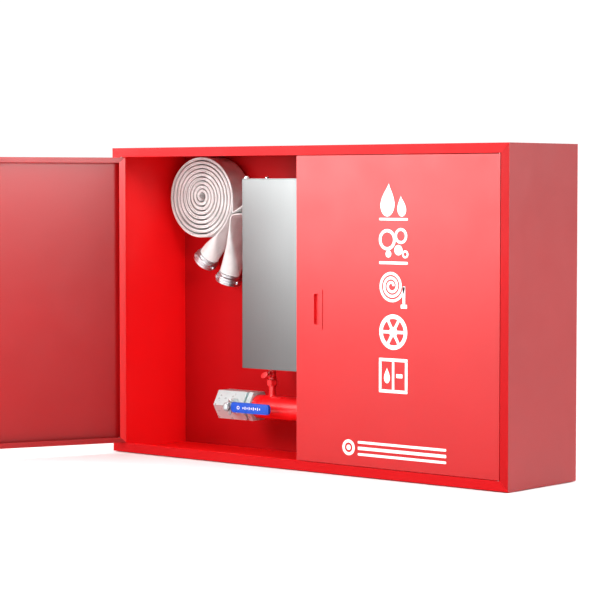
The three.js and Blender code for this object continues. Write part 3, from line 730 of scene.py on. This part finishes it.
def door_place(side):
    """Takes a closed door's coordinates to where the door rests."""
    if side == "right":
        return Matrix.Identity(4)
    pivot = Matrix.Translation(hinges["left_door_hinge"]["pos_m"])
    opened = radians(min(hinges["left_door_hinge"]["range_deg"]))
    return pivot @ Matrix.Rotation(opened, 4, "Z") @ pivot.inverted()


def dress(node, material, ease=0.0, facing=None, painted_light_finish=None):
    """Gives a CAD node that stays its finish and eased edges, with a copy of the paint on faces turned one
    way, lighter for painted light and darker for painted shade.
    """
    obj = frame["nodes"][node]
    obj.data.materials.clear()
    obj.data.materials.append(material)
    if painted_light_finish:
        obj.data.materials.append(painted_light_finish)
        turn = obj.matrix_world.to_3x3()
        for face in obj.data.polygons:
            face.material_index = int((turn @ face.normal).dot(facing) > 0.7)
    if ease:
        soften(obj, ease)


def hinge_lip(side):
    """The lip beside a door's hinge, in a brighter red: a painted highlight."""
    obj = frame["nodes"][side + "_door"]
    obj.data.materials.append(LIP_HIGHLIGHT_RED)
    closed = door_place(side).inverted() @ obj.matrix_world
    edge = hinges[side + "_door_hinge"]["pos_m"][0]
    for face in obj.data.polygons:
        if face.material_index and abs((closed @ face.center).x - edge) < LIP_REACH:
            face.material_index = 2


RIGHT, BACK, UP = Vector((1, 0, 0)), Vector((0, 1, 0)), Vector((0, 0, 1))
dress("back_panel", RED, 0.0005)
dress("top_panel", RED, 0.0005)
# The inside floor and the inner left wall carry painted light.
dress("bottom_panel", RED, 0.0005, UP, LIT_WALL_RED)
dress("left_panel", RED, 0.0005, RIGHT, LIT_WALL_RED)
# The right panel's outer side carries painted shade.
dress("right_panel", RED, 0.0005, RIGHT, SHADED_SIDE_RED)
# Each door's inner faces carry painted shade, and the lip beside its hinge a painted highlight.
for side in SIDES:
    dress(side + "_door", DOOR_RED, 0.0005, door_place(side).to_3x3() @ BACK, SHADED_INNER_RED)
    hinge_lip(side)
    dress(side + "_door_magnet", MAGNET, 0.0006)
    dress(side + "_shelf", RED, 0.0005)
    for end in ("top", "bottom"):
        dress(side + "_door_" + end + "_pivot", ZINC, 0.0004)
dress("tank_clip", RED, 0.0005)


def grommet():
    wide, _, height = span("supply_grommet")
    radius = wide / 2
    bore = radius - 0.0092
    groove = radius - 0.0053
    profile = eased(
        [(bore, 0), (groove, 0), (groove, height - 0.003), (radius, height - 0.003), (radius, height),
         (bore + 0.002, height), (bore, height - 0.001)], 0.0006)
    fixed("grommet", placed(turned(profile), footing("supply_grommet")), RUBBER, "supply_grommet")


grommet()


# ---- doors ----
def mirrored(bm):
    bm.transform(Matrix.Diagonal((-1, 1, 1, 1)))
    bmesh.ops.reverse_faces(bm, faces=bm.faces[:])
    return bm


def pull_cup(side):
    """A flush finger pull: a thin bezel with a rounded recess that widens behind its edge."""
    at = backing("right_pull_cup")
    width, depth, height = span("right_pull_cup")
    rim = 0.0012
    bezel = prism(plate_outline(width, height, 0.0025), depth - rim, depth, 0.0005, 3)
    cup = prism(plate_outline(width - 0.0072, height - 0.0142, 0.004), 0, depth - rim * 0.5)
    body = boolean(bezel, cup, "UNION")
    recess = prism(plate_outline(width - 0.014, height - 0.021, 0.004), 0.0015, depth + 0.002, 0.0015, 3)
    shape = placed(boolean(body, recess), at, "front")
    if side == "left":
        mirrored(shape)
    shape.transform(door_place(side))
    piece(side + "_pull", shape, DOOR_RED, "door_" + side, side + "_pull_cup", ease=0.0003, sharp=25)


for side in SIDES:
    pull_cup(side)


# ---- marks on the right door: plain signs with no letters ----
def band(x, y, outer, inner, start=0, end=360, steps=40):
    """A ring, or a stretch of one, as one outline with a hair-thin slit."""
    full = end - start >= 360
    angles = [radians(start + (end - start - (0.4 if full else 0)) * i / steps) for i in range(steps + 1)]
    return arc(angles, outer, x, y) + arc(angles[::-1], inner, x, y)


def leaf(x, y, width, height, lean=0.0, steps=24):
    """A drop that is round below and pointed above."""
    points = []
    for i in range(2 * steps):
        t = i / (2 * steps)
        angle = TURN * t - pi / 2
        pinch = (1 + sin(angle)) / 2
        points.append((
            x + width / 2 * cos(angle) * (1 - pinch ** 2.2) + lean * pinch ** 2,
            y + height / 2 * sin(angle),
        ))
    return points


def spiral(x, y, start, grow, turns, thick, steps=90):
    def at(t, off):
        radius = start + grow * t + off
        return (x + radius * cos(TURN * t), y + radius * sin(TURN * t))

    spots = [turns * i / steps for i in range(steps + 1)]
    return [at(t, thick / 2) for t in spots] + [at(t, -thick / 2) for t in reversed(spots)]


def signs():
    """Five signs, each drawn in a square of one unit: drop, foam, hose roll, valve wheel and cabinet."""
    yield [leaf(-0.2, 0.02, 0.52, 0.84, 0.05), leaf(0.27, -0.14, 0.32, 0.52, -0.04),
           bar(-0.46, 0.46, -0.5, -0.44, 0.03)]
    yield [band(-0.2, 0.12, 0.27, 0.19), band(0.24, 0.22, 0.2, 0.13), disc(0.16, -0.14, 0.13),
           disc(-0.16, -0.24, 0.09), band(0.38, -0.24, 0.1, 0.05), bar(-0.46, 0.46, -0.5, -0.43, 0.03)]
    yield [spiral(-0.06, 0.06, 0.06, 0.115, 3.0, 0.07), bar(0.3, 0.38, -0.42, 0.04, 0.01),
           bar(0.24, 0.44, -0.5, -0.4, 0.02)]
    spokes = [[(cos(a) * r - sin(a) * s, sin(a) * r + cos(a) * s)
               for r, s in ((0.12, -0.04), (0.35, -0.04), (0.35, 0.04), (0.12, 0.04))]
              for a in (TURN * i / 6 for i in range(6))]
    yield [band(0, 0, 0.45, 0.34), disc(0, 0, 0.13), *spokes]
    rails = [bar(-0.46, 0.46, low, high, 0.02) for low, high in ((0.36, 0.44), (-0.44, -0.36))]
    sides = (-0.46, -0.38), (0.38, 0.46), (-0.035, 0.035)
    posts = [bar(low, high, -0.355, 0.355, 0.01) for low, high in sides]
    yield [*rails, *posts, leaf(-0.2, 0, 0.22, 0.4), bar(0.1, 0.3, -0.05, 0.05, 0.02)]


def door_marks():
    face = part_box("right_panel")[0].y
    shapes = []

    def mark(outline, at):
        shapes.append(placed(prism(outline, 0, MARK["thick"]), at, "front"))

    size = MARK["size"]
    for row, sign in enumerate(signs()):
        centre = Vector((MARK["left"] + size / 2, face, MARK["top"] - size / 2 - row * MARK["step"]))
        for outline in sign:
            mark([(x * size, y * size) for x, y in outline], centre)
    tall = MARK_FOOT["height"]
    half = tall / 2
    hub = Vector((MARK_FOOT["left"] + half, face, MARK_FOOT["z"]))
    mark(band(0, 0, half, half * 0.62), hub)
    mark(disc(0, 0, half * 0.34), hub)
    start, end = MARK_FOOT["left"] + tall * 1.25 - hub.x, MARK_FOOT["right"] - hub.x
    for low, high in ((0.3, 0.46), (-0.1, 0.1), (-0.46, -0.3)):
        mark(bar(start, end, low * tall, high * tall, 0.002), hub)
    piece("door_signs", together(*shapes), WHITE, "door_right", sharp=20)


door_marks()


# ---- foam tank ----
FILLER_HOLE = 0.026


def tank_plan(low, high):
    return bar(low.x, high.x, low.y, high.y, 0.003, 5)


def tank():
    low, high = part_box("tank_body")
    body = prism(tank_plan(low, high), low.z, high.z, 0.0015, 3)
    wall = Vector((0.0015, 0.0015, 0.0015))
    inside = block(low + wall, high - wall, 0.002)
    rim = 0.02
    mouth = block((low.x + rim, low.y + rim, high.z - 0.005), (high.x - rim, high.y - rim, high.z + 0.005), 0)
    body = boolean(boolean(body, inside), mouth)
    fixed("tank_shell", body, STAINLESS, "tank_body", sharp=30)

    low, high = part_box("tank_lid")
    neck = middle("filler_neck")
    hole = placed(rod(FILLER_HOLE, -0.01, 0.01), (neck.x, neck.y, high.z))
    lid = boolean(prism(tank_plan(low, high), low.z, high.z, 0.0008, 2), hole)
    fixed("tank_cover", lid, STAINLESS, "tank_lid", sharp=30)


tank()


def hexagon(flats):
    return disc(0, 0, flats / sqrt(3), 6)


def hex_nut(flats, height, bore=0.0, chamfered=("low", "high")):
    """A nut whose corners are cut back in a cone at its ends."""
    corner = flats / sqrt(3)
    cut = (corner - flats / 2) * 1.1
    rise = cut * 0.55
    foot, top = (corner - (cut if end in chamfered else 0) for end in ("low", "high"))
    profile = [(0, 0), (foot, 0), (corner, rise), (corner, height - rise), (top, height), (0, height)]
    nut = boolean(prism(hexagon(flats), 0, height), turned(profile, 72), "INTERSECT")
    if bore:
        nut = boolean(nut, rod(bore, -0.01, height + 0.01, 40))
    return nut


def dome_nut(node):
    wide, _, height = span(node)
    radius = wide / 2
    washer = lathe(solid(0, (radius, 0.001)), 0.0003)
    hexagonal = placed(hex_nut(radius * 1.62, height * 0.45), (0, 0, 0.001))
    crown = [(radius * 0.76 * cos(a), 0.001 + height * 0.45 + (height * 0.55 - 0.001) * sin(a))
             for a in (pi / 2 * i / 8 for i in range(8))]
    dome = turned([(0, height * 0.4), (radius * 0.76, height * 0.4), *crown, (0, height)], 40)
    at = footing(node)
    fixed(node + "_dome", placed(together(washer, hexagonal, dome), at), BRIGHT_STAINLESS, node, sharp=30)


for corner in ("front_left", "front_right", "rear_left", "rear_right"):
    dome_nut("lid_nut_" + corner)


def vent():
    wide, _, height = span("vent_screw")
    radius = wide / 2
    head = lathe([(0, 0), (radius, 0), (radius, height * 0.55), (radius * 0.6, height), (0, height)], 0.0006)
    slot = block((-radius * 1.2, -0.0005, height * 0.55), (radius * 1.2, 0.0005, height * 1.2), 0)
    plug = placed(boolean(head, slot), footing("vent_screw"))
    fixed("vent_plug", plug, BRIGHT_STAINLESS, "vent_screw", sharp=30)


vent()


def filler():
    low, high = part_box("filler_neck")
    height, flange = high.z - low.z, (high.x - low.x) / 2
    outer, inner = flange - 0.006, flange - 0.01
    ridges = []
    for i in range(4):
        foot = 0.004 + i * 0.0024
        ridges += [(outer - 0.0007, foot), (outer, foot + 0.0006), (outer, foot + 0.001)]
        ridges.append((outer - 0.0007, foot + 0.0016))
    profile = [(inner, 0), (flange, 0), (flange, 0.0016), (outer + 0.001, 0.0022), (outer - 0.0007, 0.0032),
               *ridges, (outer - 0.0006, height), (inner, height)]
    at = footing("filler_neck")
    fixed("filler_tube", placed(turned(profile), at), BRIGHT_STAINLESS, "filler_neck", sharp=30)

    cap_low, cap_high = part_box("filler_cap")
    radius = (cap_high.x - cap_low.x) / 2
    foot, roof = 0.004, cap_high.z - low.z - 0.008
    bore = outer + 0.0003
    skirt, seat = radius - 0.002, height + 0.0003
    shell = [(0, seat), (bore, seat), (bore, foot), (skirt, foot), (skirt, roof - 0.004)]
    shell = lathe([*shell, (radius - 0.006, roof), (0, roof)], 0.001, 96)
    ribs = ring_of(36, 0, (radius - 0.004, -0.0011, foot + 0.001), (radius, 0.0011, roof - 0.004), 0.0007)
    wing = prism(bar(-radius + 0.004, radius - 0.004, -0.004, 0.004, 0.003), roof - 0.001, cap_high.z - low.z,
                 0.0015, 3)
    piece("filler_lid", placed(together(shell, *ribs, wing), at), BLACK, "cap", "filler_cap", sharp=30)


filler()


# ---- water line ----
pipe_low, pipe_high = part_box("mixing_pipe")
pipe_at = middle("mixing_pipe")
PIPE_RADIUS = 0.0285
PIPE_BORE = 0.025
PIPE_FIT = PIPE_RADIUS + 0.0003  # bore of what goes over the pipe


def along_x(x):
    return Vector((x, pipe_at.y, pipe_at.z))


def round_pipe(outer, inner, length, ease=0.0008):
    return lathe([(inner, 0), (outer, 0), (outer, length), (inner, length)], ease, 96)


def weld_bead(points, radius, seed):
    """A welded seam: a low bead whose size wanders from ripple to ripple."""
    rng = random.Random(seed)
    sizes = [radius * (1 + 0.22 * sin(k * 1.9) + rng.uniform(-0.12, 0.12)) for k in range(len(points))]
    return tube(points, sizes, 8)


def ring_points(centre, radius, axis, count=72):
    spots = [TURN * i / count for i in range(count + 1)]
    turn = AXES[axis].to_3x3()
    return [centre + turn @ Vector((radius * cos(a), radius * sin(a), 0)) for a in spots]


def pipes():
    length = pipe_high.x - pipe_low.x
    run = placed(round_pipe(PIPE_RADIUS, PIPE_BORE, length), along_x(pipe_low.x), "x")
    elbow_low, elbow_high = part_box("supply_elbow")
    joint = weld_bead(ring_points(along_x(elbow_low.x), PIPE_RADIUS + 0.001, "x"), 0.0016, 5)
    fixed("water_pipe", together(run, joint), PIPE_RED, "mixing_pipe")

    leg_x = middle("supply_pipe").x
    outer = (middle("supply_pipe") - elbow_high).x * -1
    bore = PIPE_FIT
    straight = 0.018
    bend = leg_x - elbow_low.x - straight
    path = [along_x(elbow_low.x), along_x(elbow_low.x + straight * 0.5)]
    for i in range(25):
        angle = pi / 2 * i / 24
        sunk = Vector((0, 0, bend * (1 - cos(angle))))
        path.append(along_x(elbow_low.x + straight + bend * sin(angle)) - sunk)
    path += [Vector((leg_x, pipe_at.y, elbow_low.z + up)) for up in (straight * 0.5, 0)]
    swell = [outer + (0.0016 if k < 2 or k > len(path) - 3 else 0) for k in range(len(path))]
    elbow = boolean(tube(path, [size - 0.0016 for size in swell], 64), tube(
        [path[0] - Vector((0.01, 0, 0)), *path, path[-1] - Vector((0, 0, 0.01))], bore, 64))
    fixed("elbow", elbow, PIPE_RED, "supply_elbow", sharp=40)

    low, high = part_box("supply_pipe")
    leg = placed(round_pipe(PIPE_RADIUS, PIPE_BORE, high.z - low.z), (leg_x, pipe_at.y, low.z))
    fixed("supply_leg", leg, PIPE_RED, "supply_pipe")


pipes()


def pipe_clamp(name):
    """A saddle on the back panel with a band over the pipe and two screws."""
    low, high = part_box(name)
    wall = high.y
    band_half = 0.01
    x = (low.x + high.x) / 2
    inner = PIPE_FIT
    thick = 0.0035
    angles = [radians(90 + 10 + (340 * i / 40)) for i in range(41)]
    loop = arc(angles, inner + thick / 2)
    stem = wall - pipe_at.y
    ears = [(loop[0][0], stem - 0.004)], [(loop[-1][0], stem - 0.004)]
    strip = ears[0] + loop + ears[1]
    strip_shape = strap(strip, -band_half, band_half, thick, 0.0005)
    turn = Matrix(((0, 0, 1, 0), (0, 1, 0, 0), (1, 0, 0, 0), (0, 0, 0, 1)))
    strip_shape.transform(Matrix.Translation(along_x(x)) @ turn)
    bmesh.ops.reverse_faces(strip_shape, faces=strip_shape.faces[:])
    plate = block((low.x, wall - 0.004, low.z), (high.x, wall, high.z), 0.0008)
    screws = []
    for up in (low.z + 0.01, high.z - 0.01):
        screws.append(placed(hex_nut(0.01, 0.005), (x, wall - 0.0039, up), "front"))
    fixed(name + "_band", together(strip_shape, plate), PIPE_RED, name)
    fixed(name + "_screws", together(*screws), ZINC)


for side in SIDES:
    pipe_clamp(side + "_pipe_clamp")


# ---- water ball valve ----
def threaded_bore(radius, depth, mouth):
    """A tool for a screwed socket: a row of shallow threads, wider at its mouth."""
    pitch, height = 0.0023, 0.0009
    profile = [(0, -0.004), (radius + mouth, -0.004), (radius + mouth, 0), (radius, mouth)]
    count = int((depth - mouth) / pitch)
    for i in range(count):
        foot = mouth + i * pitch
        profile += [(radius + height, foot + pitch * 0.5), (radius, foot + pitch)]
    return turned(profile + [(0, mouth + count * pitch)], 72)


VALVE_FLATS = 0.069
END_NUT = -0.254  # where the nut of the end piece starts, along x
BODY_GAP = 0.0065  # from the body's end to that nut
NECK = 0.0086  # from where the neck starts to that nut
THREAD = 0.022  # depth of the screwed end
SEAT_RADIUS = 0.0245
VALVE_BORE = 0.017
STEM = 0.006
STEM_HOLE = STEM + 0.0003


def valve():
    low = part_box("valve_body")[0]
    ball = middle("valve_ball")
    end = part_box("valve_end_piece")[1].x
    body = prism(hexagon(VALVE_FLATS), 0, END_NUT - BODY_GAP - low.x, 0.0008)
    body = placed(body, along_x(low.x), "x", TURN / 4)
    bonnet = ball.y - low.y
    boss = lathe(
        [(0, 0.02), (0.0185, 0.02), (0.0185, 0.0385), (0.015, 0.041), (0.014, bonnet), (0, bonnet)], 0.0012)
    body = boolean(body, placed(boss, ball, "front"), "UNION")
    body = boolean(body, placed(threaded_bore(PIPE_RADIUS, THREAD, 0.002), along_x(low.x), "x"))
    inner = turned(solid(0, (VALVE_BORE, 0.036), (0.025, 0.08), (0.031, 0.1)))
    body = boolean(body, placed(inner, along_x(low.x + 0.01), "x"))
    stem_way = rod(STEM_HOLE, 0, 0.08, 40)
    body = boolean(body, placed(stem_way, ball, "front"))
    fixed("valve_casting", body, NICKEL, "valve_body", sharp=25)

    neck = [(VALVE_BORE, 0), (SEAT_RADIUS, 0), (SEAT_RADIUS, 0.0023), (0.0275, 0.0032), (0.0285, 0.005)]
    neck += [(0.0285, 0.009), (VALVE_BORE, 0.009)]
    neck = placed(turned(neck, 72), along_x(END_NUT - NECK), "x")
    nut = placed(prism(hexagon(VALVE_FLATS), 0, end - END_NUT, 0.0008), along_x(END_NUT), "x", TURN / 4)
    way = turned(solid(-0.01, (VALVE_BORE, 0.0078), (PIPE_FIT, 0.03)), 72)
    tail = together(boolean(nut, placed(way, along_x(END_NUT), "x")), neck)
    fixed("valve_tail", tail, NICKEL, "valve_end_piece", sharp=25)

    radius = span("valve_ball")[2] / 2
    sphere = bored_ball(radius, VALVE_BORE, 0.03, 32, 64, 64)
    piece("valve_sphere", placed(sphere, ball), NICKEL, "water_lever", "valve_ball", sharp=40)
    for side, bores in (("left", (VALVE_BORE, 0.018)), ("right", (0.018, VALVE_BORE))):
        seat_low, seat_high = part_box(side + "_seat")
        deep = seat_high.x - seat_low.x
        ring = [(bores[0], 0), (SEAT_RADIUS, 0), (SEAT_RADIUS, deep), (bores[1], deep)]
        ring = placed(lathe(ring, 0.0004), along_x(seat_low.x), "x")
        fixed(side + "_seat_ring", ring, SEAT, side + "_seat")


valve()


def on_stem(node):
    """Where the valve's stem meets a node's rear side."""
    ball = middle("valve_ball")
    return Vector((ball.x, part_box(node)[1].y, ball.z))


def valve_spindle():
    reach = span("valve_stem")[1]
    thread = [(STEM - 0.0006 * (i % 2), reach - 0.009 + 0.001 * i) for i in range(9)]
    outline = [(0, 0), (STEM, 0), (STEM, reach - 0.01), (STEM - 0.0006, reach - 0.0095), *thread, (0, reach)]
    stem = placed(lathe(outline, 0.0002), on_stem("valve_stem"), "front")
    piece("valve_spindle", stem, NICKEL, "water_lever", "valve_stem", sharp=30)
    nut = hex_nut(*span("gland_nut")[:2], STEM_HOLE, ("high",))
    fixed("gland", placed(nut, on_stem("gland_nut"), "front"), NICKEL, "gland_nut", sharp=25)
    nut = hex_nut(*span("lever_nut")[:2], STEM + 0.0002)
    piece("lever_hex", placed(nut, on_stem("lever_nut"), "front"), ZINC, "water_lever", "lever_nut", sharp=25)


valve_spindle()


def lever():
    """A pressed steel lever with a round hub and two stop ears, and a dipped sleeve with a raised border."""
    low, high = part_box("valve_lever")
    thick = high.y - low.y
    at = on_stem("valve_lever")
    hub, half = 0.0115, 0.0095
    ear_low, ear_high, ear = 0.002, 0.01, 0.02
    reach = high.x - at.x
    back = arc([radians(74 + 212 * i / 24) for i in range(25)], hub)
    edge = [(ear_high, half), (ear_high, ear - 0.003), (ear_high - 0.003, ear), (ear_low + 0.002, ear),
            (ear_low, ear - 0.002)]
    outline = edge + back + [(x, -y) for x, y in edge[::-1]] + [(reach, -half), (reach, half)]
    plate = prism(outline[::-1], 0, thick, 0.0006, 2)
    hole = rod(STEM_HOLE, -0.01, 0.02, 40)
    plate = boolean(plate, hole)
    foot, top = thick - 0.0002, thick + 0.0002
    raised = lathe([(0.0062, foot), (0.0108, foot), (0.0102, top), (0.0062, top)], 0.0001)
    plate = placed(together(plate, raised), at, "front")
    piece("lever_plate", plate, ZINC, "water_lever", "valve_lever", sharp=30)

    at = backing("lever_sleeve")
    length, deep, height = span("lever_sleeve")
    outline = plate_outline(length, height, 0.006)
    sleeve = prism(outline, 0, deep - 0.0006, 0.0028, 5)
    hollow = prism(plate_outline(length - 0.004, height - 0.0044, 0.001), 0.0027, deep - 0.0027)
    hollow.transform(Matrix.Translation((-0.004, 0, 0)))
    sleeve = boolean(sleeve, hollow)
    border = prism(plate_outline(length - 0.01, height - 0.008, 0.004), deep - 0.001, deep, 0.0002)
    inside = prism(plate_outline(length - 0.0135, height - 0.0115, 0.003), deep - 0.002, deep + 0.002)
    grip = placed(together(sleeve, boolean(border, inside)), at, "front")
    piece("lever_grip", grip, BLUE, "water_lever", "lever_sleeve", sharp=30)
    marks = [band(-length * 0.3, 0, 0.0042, 0.0028)]
    for i in range(9):
        x = length * (-0.17 + 0.055 * i)
        tall = 0.0036 if i % 2 else 0.0022
        marks.append(bar(x - 0.0011, x + 0.0011, -tall, tall, 0.0006))
    raised = together(*(prism(mark, deep - 0.0008, deep - 0.0002) for mark in marks))
    piece("lever_marks", placed(raised, at, "front"), WHITE, "water_lever", sharp=20)


lever()


# ---- foam line ----
FOAM_BORE = 0.0035
FOAM_WAY = 0.004  # bore of the socket, union nut and riser
WING_HOLE = 0.0028


def foam_line():
    low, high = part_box("tank_outlet")
    x, y = middle("tank_outlet").x, middle("tank_outlet").y
    height = high.z - low.z
    socket = [(FOAM_WAY, 0), (0.009, 0), (0.009, height - 0.002), (0.012, height - 0.0017)]
    socket = lathe([*socket, (0.012, height), (FOAM_WAY, height)], 0.0005)
    fixed("tank_socket", placed(socket, (x, y, low.z)), PIPE_RED, "tank_outlet")

    low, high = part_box("foam_valve_body")
    length, radius = high.z - low.z, (high.x - low.x) / 2
    mid = length / 2
    half = [(FOAM_BORE, 0), (radius, 0), (radius, 0.005), (radius * 0.82, 0.0062)]
    half.append((radius * 0.92, mid - 0.003))
    barrel = lathe(half + [(r, length - z) for r, z in half[::-1]], 0.0008)
    boss = lathe(mm((0, 3), (6, 3), (6, 12.5), (4.5, 14), (0, 14)), 0.0006)
    boss = placed(boss, (0, 0, mid), "front")
    barrel = placed(boolean(barrel, boss, "UNION"), (x, y, low.z))
    fixed("foam_valve_barrel", barrel, PIPE_RED, "foam_valve_body", sharp=30)

    at = middle("foam_valve_ball")
    size = span("foam_valve_ball")[0] / 2
    sphere = bored_ball(size, FOAM_BORE, 0.01, 20, 40, 32)
    piece("foam_valve_sphere", placed(sphere, at), NICKEL, "foam_lever", "foam_valve_ball", sharp=40)

    low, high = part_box("foam_valve_stem")
    reach = high.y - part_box("foam_valve_handle")[1].y + 0.005
    stem = lathe([(0, 0), (0.0025, 0), (0.0025, reach - 0.0006), (0.0019, reach), (0, reach)], 0.0002, 32)
    stem = placed(stem, (x, high.y, at.z), "front")
    piece("foam_valve_spindle", stem, BRASS, "foam_lever", "foam_valve_stem")

    low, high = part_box("foam_valve_handle")
    deep, wide, tall = 0.004, (high.x - low.x) / 2, (high.z - low.z) / 2
    wing = ((-0.4, 0.55), (0.25, 1), (0.85, 0.9), (1, 0.45), (0.7, -0.3))
    wings = [(way * u * wide, way * v * tall) for way in (1, -1) for u, v in wing]
    outline = eased(wings, 0.0028, 4)
    grip = prism(outline, 0.003, 0.0026 + deep, 0.0012, 3)
    top = 0.003 + deep
    hub = [(WING_HOLE, 0), (0.0055, 0), (0.0055, top), (0, top), (0, 0.0055), (WING_HOLE, 0.0055)]
    hub = lathe(hub, 0.0008, 40)
    hole = rod(WING_HOLE, -0.01, 0.0055, 32)
    shape = together(boolean(grip, hole), hub)
    piece("foam_wing", placed(shape, (x, high.y, at.z), "front"), PIPE_RED, "foam_lever", "foam_valve_handle")

    low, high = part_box("union_nut")
    nut = hex_nut(0.022, high.z - low.z, FOAM_WAY)
    fixed("foam_union", placed(nut, (x, y, low.z)), PIPE_RED, "union_nut", sharp=25)
    low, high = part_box("foam_riser")
    seat = pipe_at.z + PIPE_RADIUS - 0.004
    size = (high.x - low.x) / 2
    slim, top = size - 0.0008, high.z
    riser = [(FOAM_WAY, seat), (slim, seat), (slim, top - 0.0035), (size, top - 0.0028), (size, top)]
    riser = lathe([*riser, (FOAM_WAY, top)], 0.0005, 48)
    saddle = placed(rod(PIPE_RADIUS, -0.02, 0.02, 96), along_x(x), "x")
    riser = boolean(placed(riser, (x, y, 0)), saddle)
    around = []
    for i in range(49):
        a = TURN * i / 48
        side = size * sin(a)
        up = pipe_at.z + sqrt(PIPE_RADIUS ** 2 - side ** 2) + 0.0004
        around.append(Vector((x + size * cos(a), y + side, up)))
    fixed("riser", together(riser, weld_bead(around, 0.0014, 7)), PIPE_RED, "foam_riser", sharp=40)


foam_line()


# ---- nozzle ----
def nozzle():
    low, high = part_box("nozzle_barrel")
    at = middle("nozzle_barrel")
    length = high.z - low.z
    rim = (high.x - low.x) / 2
    tube_radius = rim - 0.003
    outer = [(0.01, 0), (0.018, 0), (0.02, 0.005), (0.02, 0.012), (tube_radius, 0.04)]
    swell = tube_radius + 0.0008
    outer += [(tube_radius, 0.06), (swell, 0.062), (swell, 0.066), (tube_radius, 0.068)]
    outer += [(tube_radius, length - 0.018), (rim, length - 0.003), (rim, length), (rim - 0.003, length)]
    inner = [(tube_radius - 0.003, length - 0.015), (tube_radius - 0.003, 0.042), (0.01, 0.01)]
    barrel = placed(lathe(outer + inner, 0.0008, 96), (at.x, at.y, low.z))
    piece("nozzle_tube", barrel, ALLOY, "nozzle", "nozzle_barrel", sharp=25)
    low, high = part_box("nozzle_coupling")
    profile = mm(
        (20, 2), (26, 0), (29.6, 0), (30.8, 1.2), (30.8, 4), (29.6, 4.8),
        (29.6, 6), (31, 6.8), (31, 12), (29.6, 12.8), (29.6, 14), (31, 14.8),
        (31, 20), (26.2, 26), (18.5, 39), (18, 69.5), (10, 69.5), (10, 40),
        (20, 25),
    )
    shapes = [lathe(profile, 0.0006, 96)]
    shapes += ring_of(3, 0, (-0.0045, 0.0288, 0.0085), (0.0045, 0.031, 0.016), 0.0008)
    inlet = placed(together(*shapes), (at.x, at.y, low.z))
    piece("nozzle_inlet", inlet, ALLOY, "nozzle", "nozzle_coupling", sharp=25)

    for side in ("lower", "upper"):
        node = side + "_nozzle_clip"
        low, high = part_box(node)
        inner = tube_radius + 0.0015
        angles = [radians(-14 + 208 * i / 40) for i in range(41)]
        loop = arc(angles, inner, at.x, at.y)
        lips = [(loop[0][0] + 0.0015, low.y + 0.002)], [(loop[-1][0] - 0.0015, low.y + 0.002)]
        arms = strap(lips[0] + loop + lips[1], low.z, high.z, 0.0016, 0.0003)
        foot = block((at.x - 0.012, at.y + inner + 0.0006, low.z), (at.x + 0.012, high.y, high.z), 0.0006)
        fixed(node + "_spring", together(arms, foot), ZINC, node)


nozzle()


# ---- floor, light and finish ----
def stage():
    bm = bmesh.new()
    bmesh.ops.create_grid(bm, x_segments=8, y_segments=8, size=30)
    floor = shown("floor", bm)
    floor.location.z = cad_box[0].z - 0.002
    colours = (0.86, 0.86, 0.86), (0.9, 0.9, 0.9)
    floor.data.materials.append(
        finish("floor", *colours, (0.85, 0.95), (0.6, 2), (8, 3), ((120, 2), 0.0002, 0.2)))


def softbox(name, at, target, size, radiance, diffuse=True, reflected=True, shielded=()):
    data = bpy.data.lights.new(name, "AREA")
    data.shape, data.size, data.size_y = "RECTANGLE", *size
    data.energy = radiance * pi * size[0] * size[1]
    lamp = bpy.data.objects.new(name, data)
    lamp.location = at
    lamp.rotation_euler = (Vector(target) - Vector(at)).to_track_quat("-Z", "Y").to_euler()
    lamp.visible_camera = False
    lamp.visible_diffuse = diffuse
    lamp.visible_glossy = reflected
    scene.collection.objects.link(lamp)
    if shielded:
        kept_off = bpy.data.collections.new(name + "_kept_off")
        lamp.light_linking.receiver_collection = kept_off
        for node in shielded:
            kept_off.objects.link(frame["nodes"][node])
        for entry in kept_off.collection_objects:
            entry.light_linking.link_state = "EXCLUDE"


stage()


def studio():
    """A white backdrop behind the cabinet, a dimmer room in front of it and a brighter ceiling."""
    world = bpy.data.worlds.new("studio")
    nodes = Nodes(world)
    where = nodes.node("ShaderNodeTexCoord")
    apart = nodes.node("ShaderNodeSeparateXYZ")
    nodes.join(where.outputs["Generated"], apart.inputs[0])
    depth, height = (
        nodes.ranged(apart.outputs[axis], spread, *strengths, interpolation_type="SMOOTHSTEP")
        for axis, spread, strengths in ROOM
    )
    background = nodes.tree.nodes["Background"]
    nodes.join(nodes.math("MULTIPLY", depth, height), background.inputs["Strength"])
    background.inputs["Color"].default_value = (1, 1, 1, 1)
    scene.world = world


studio()
scene.view_settings.view_transform = "Standard"
for *settings, limits in SOFTBOXES:
    softbox(*settings, **limits)
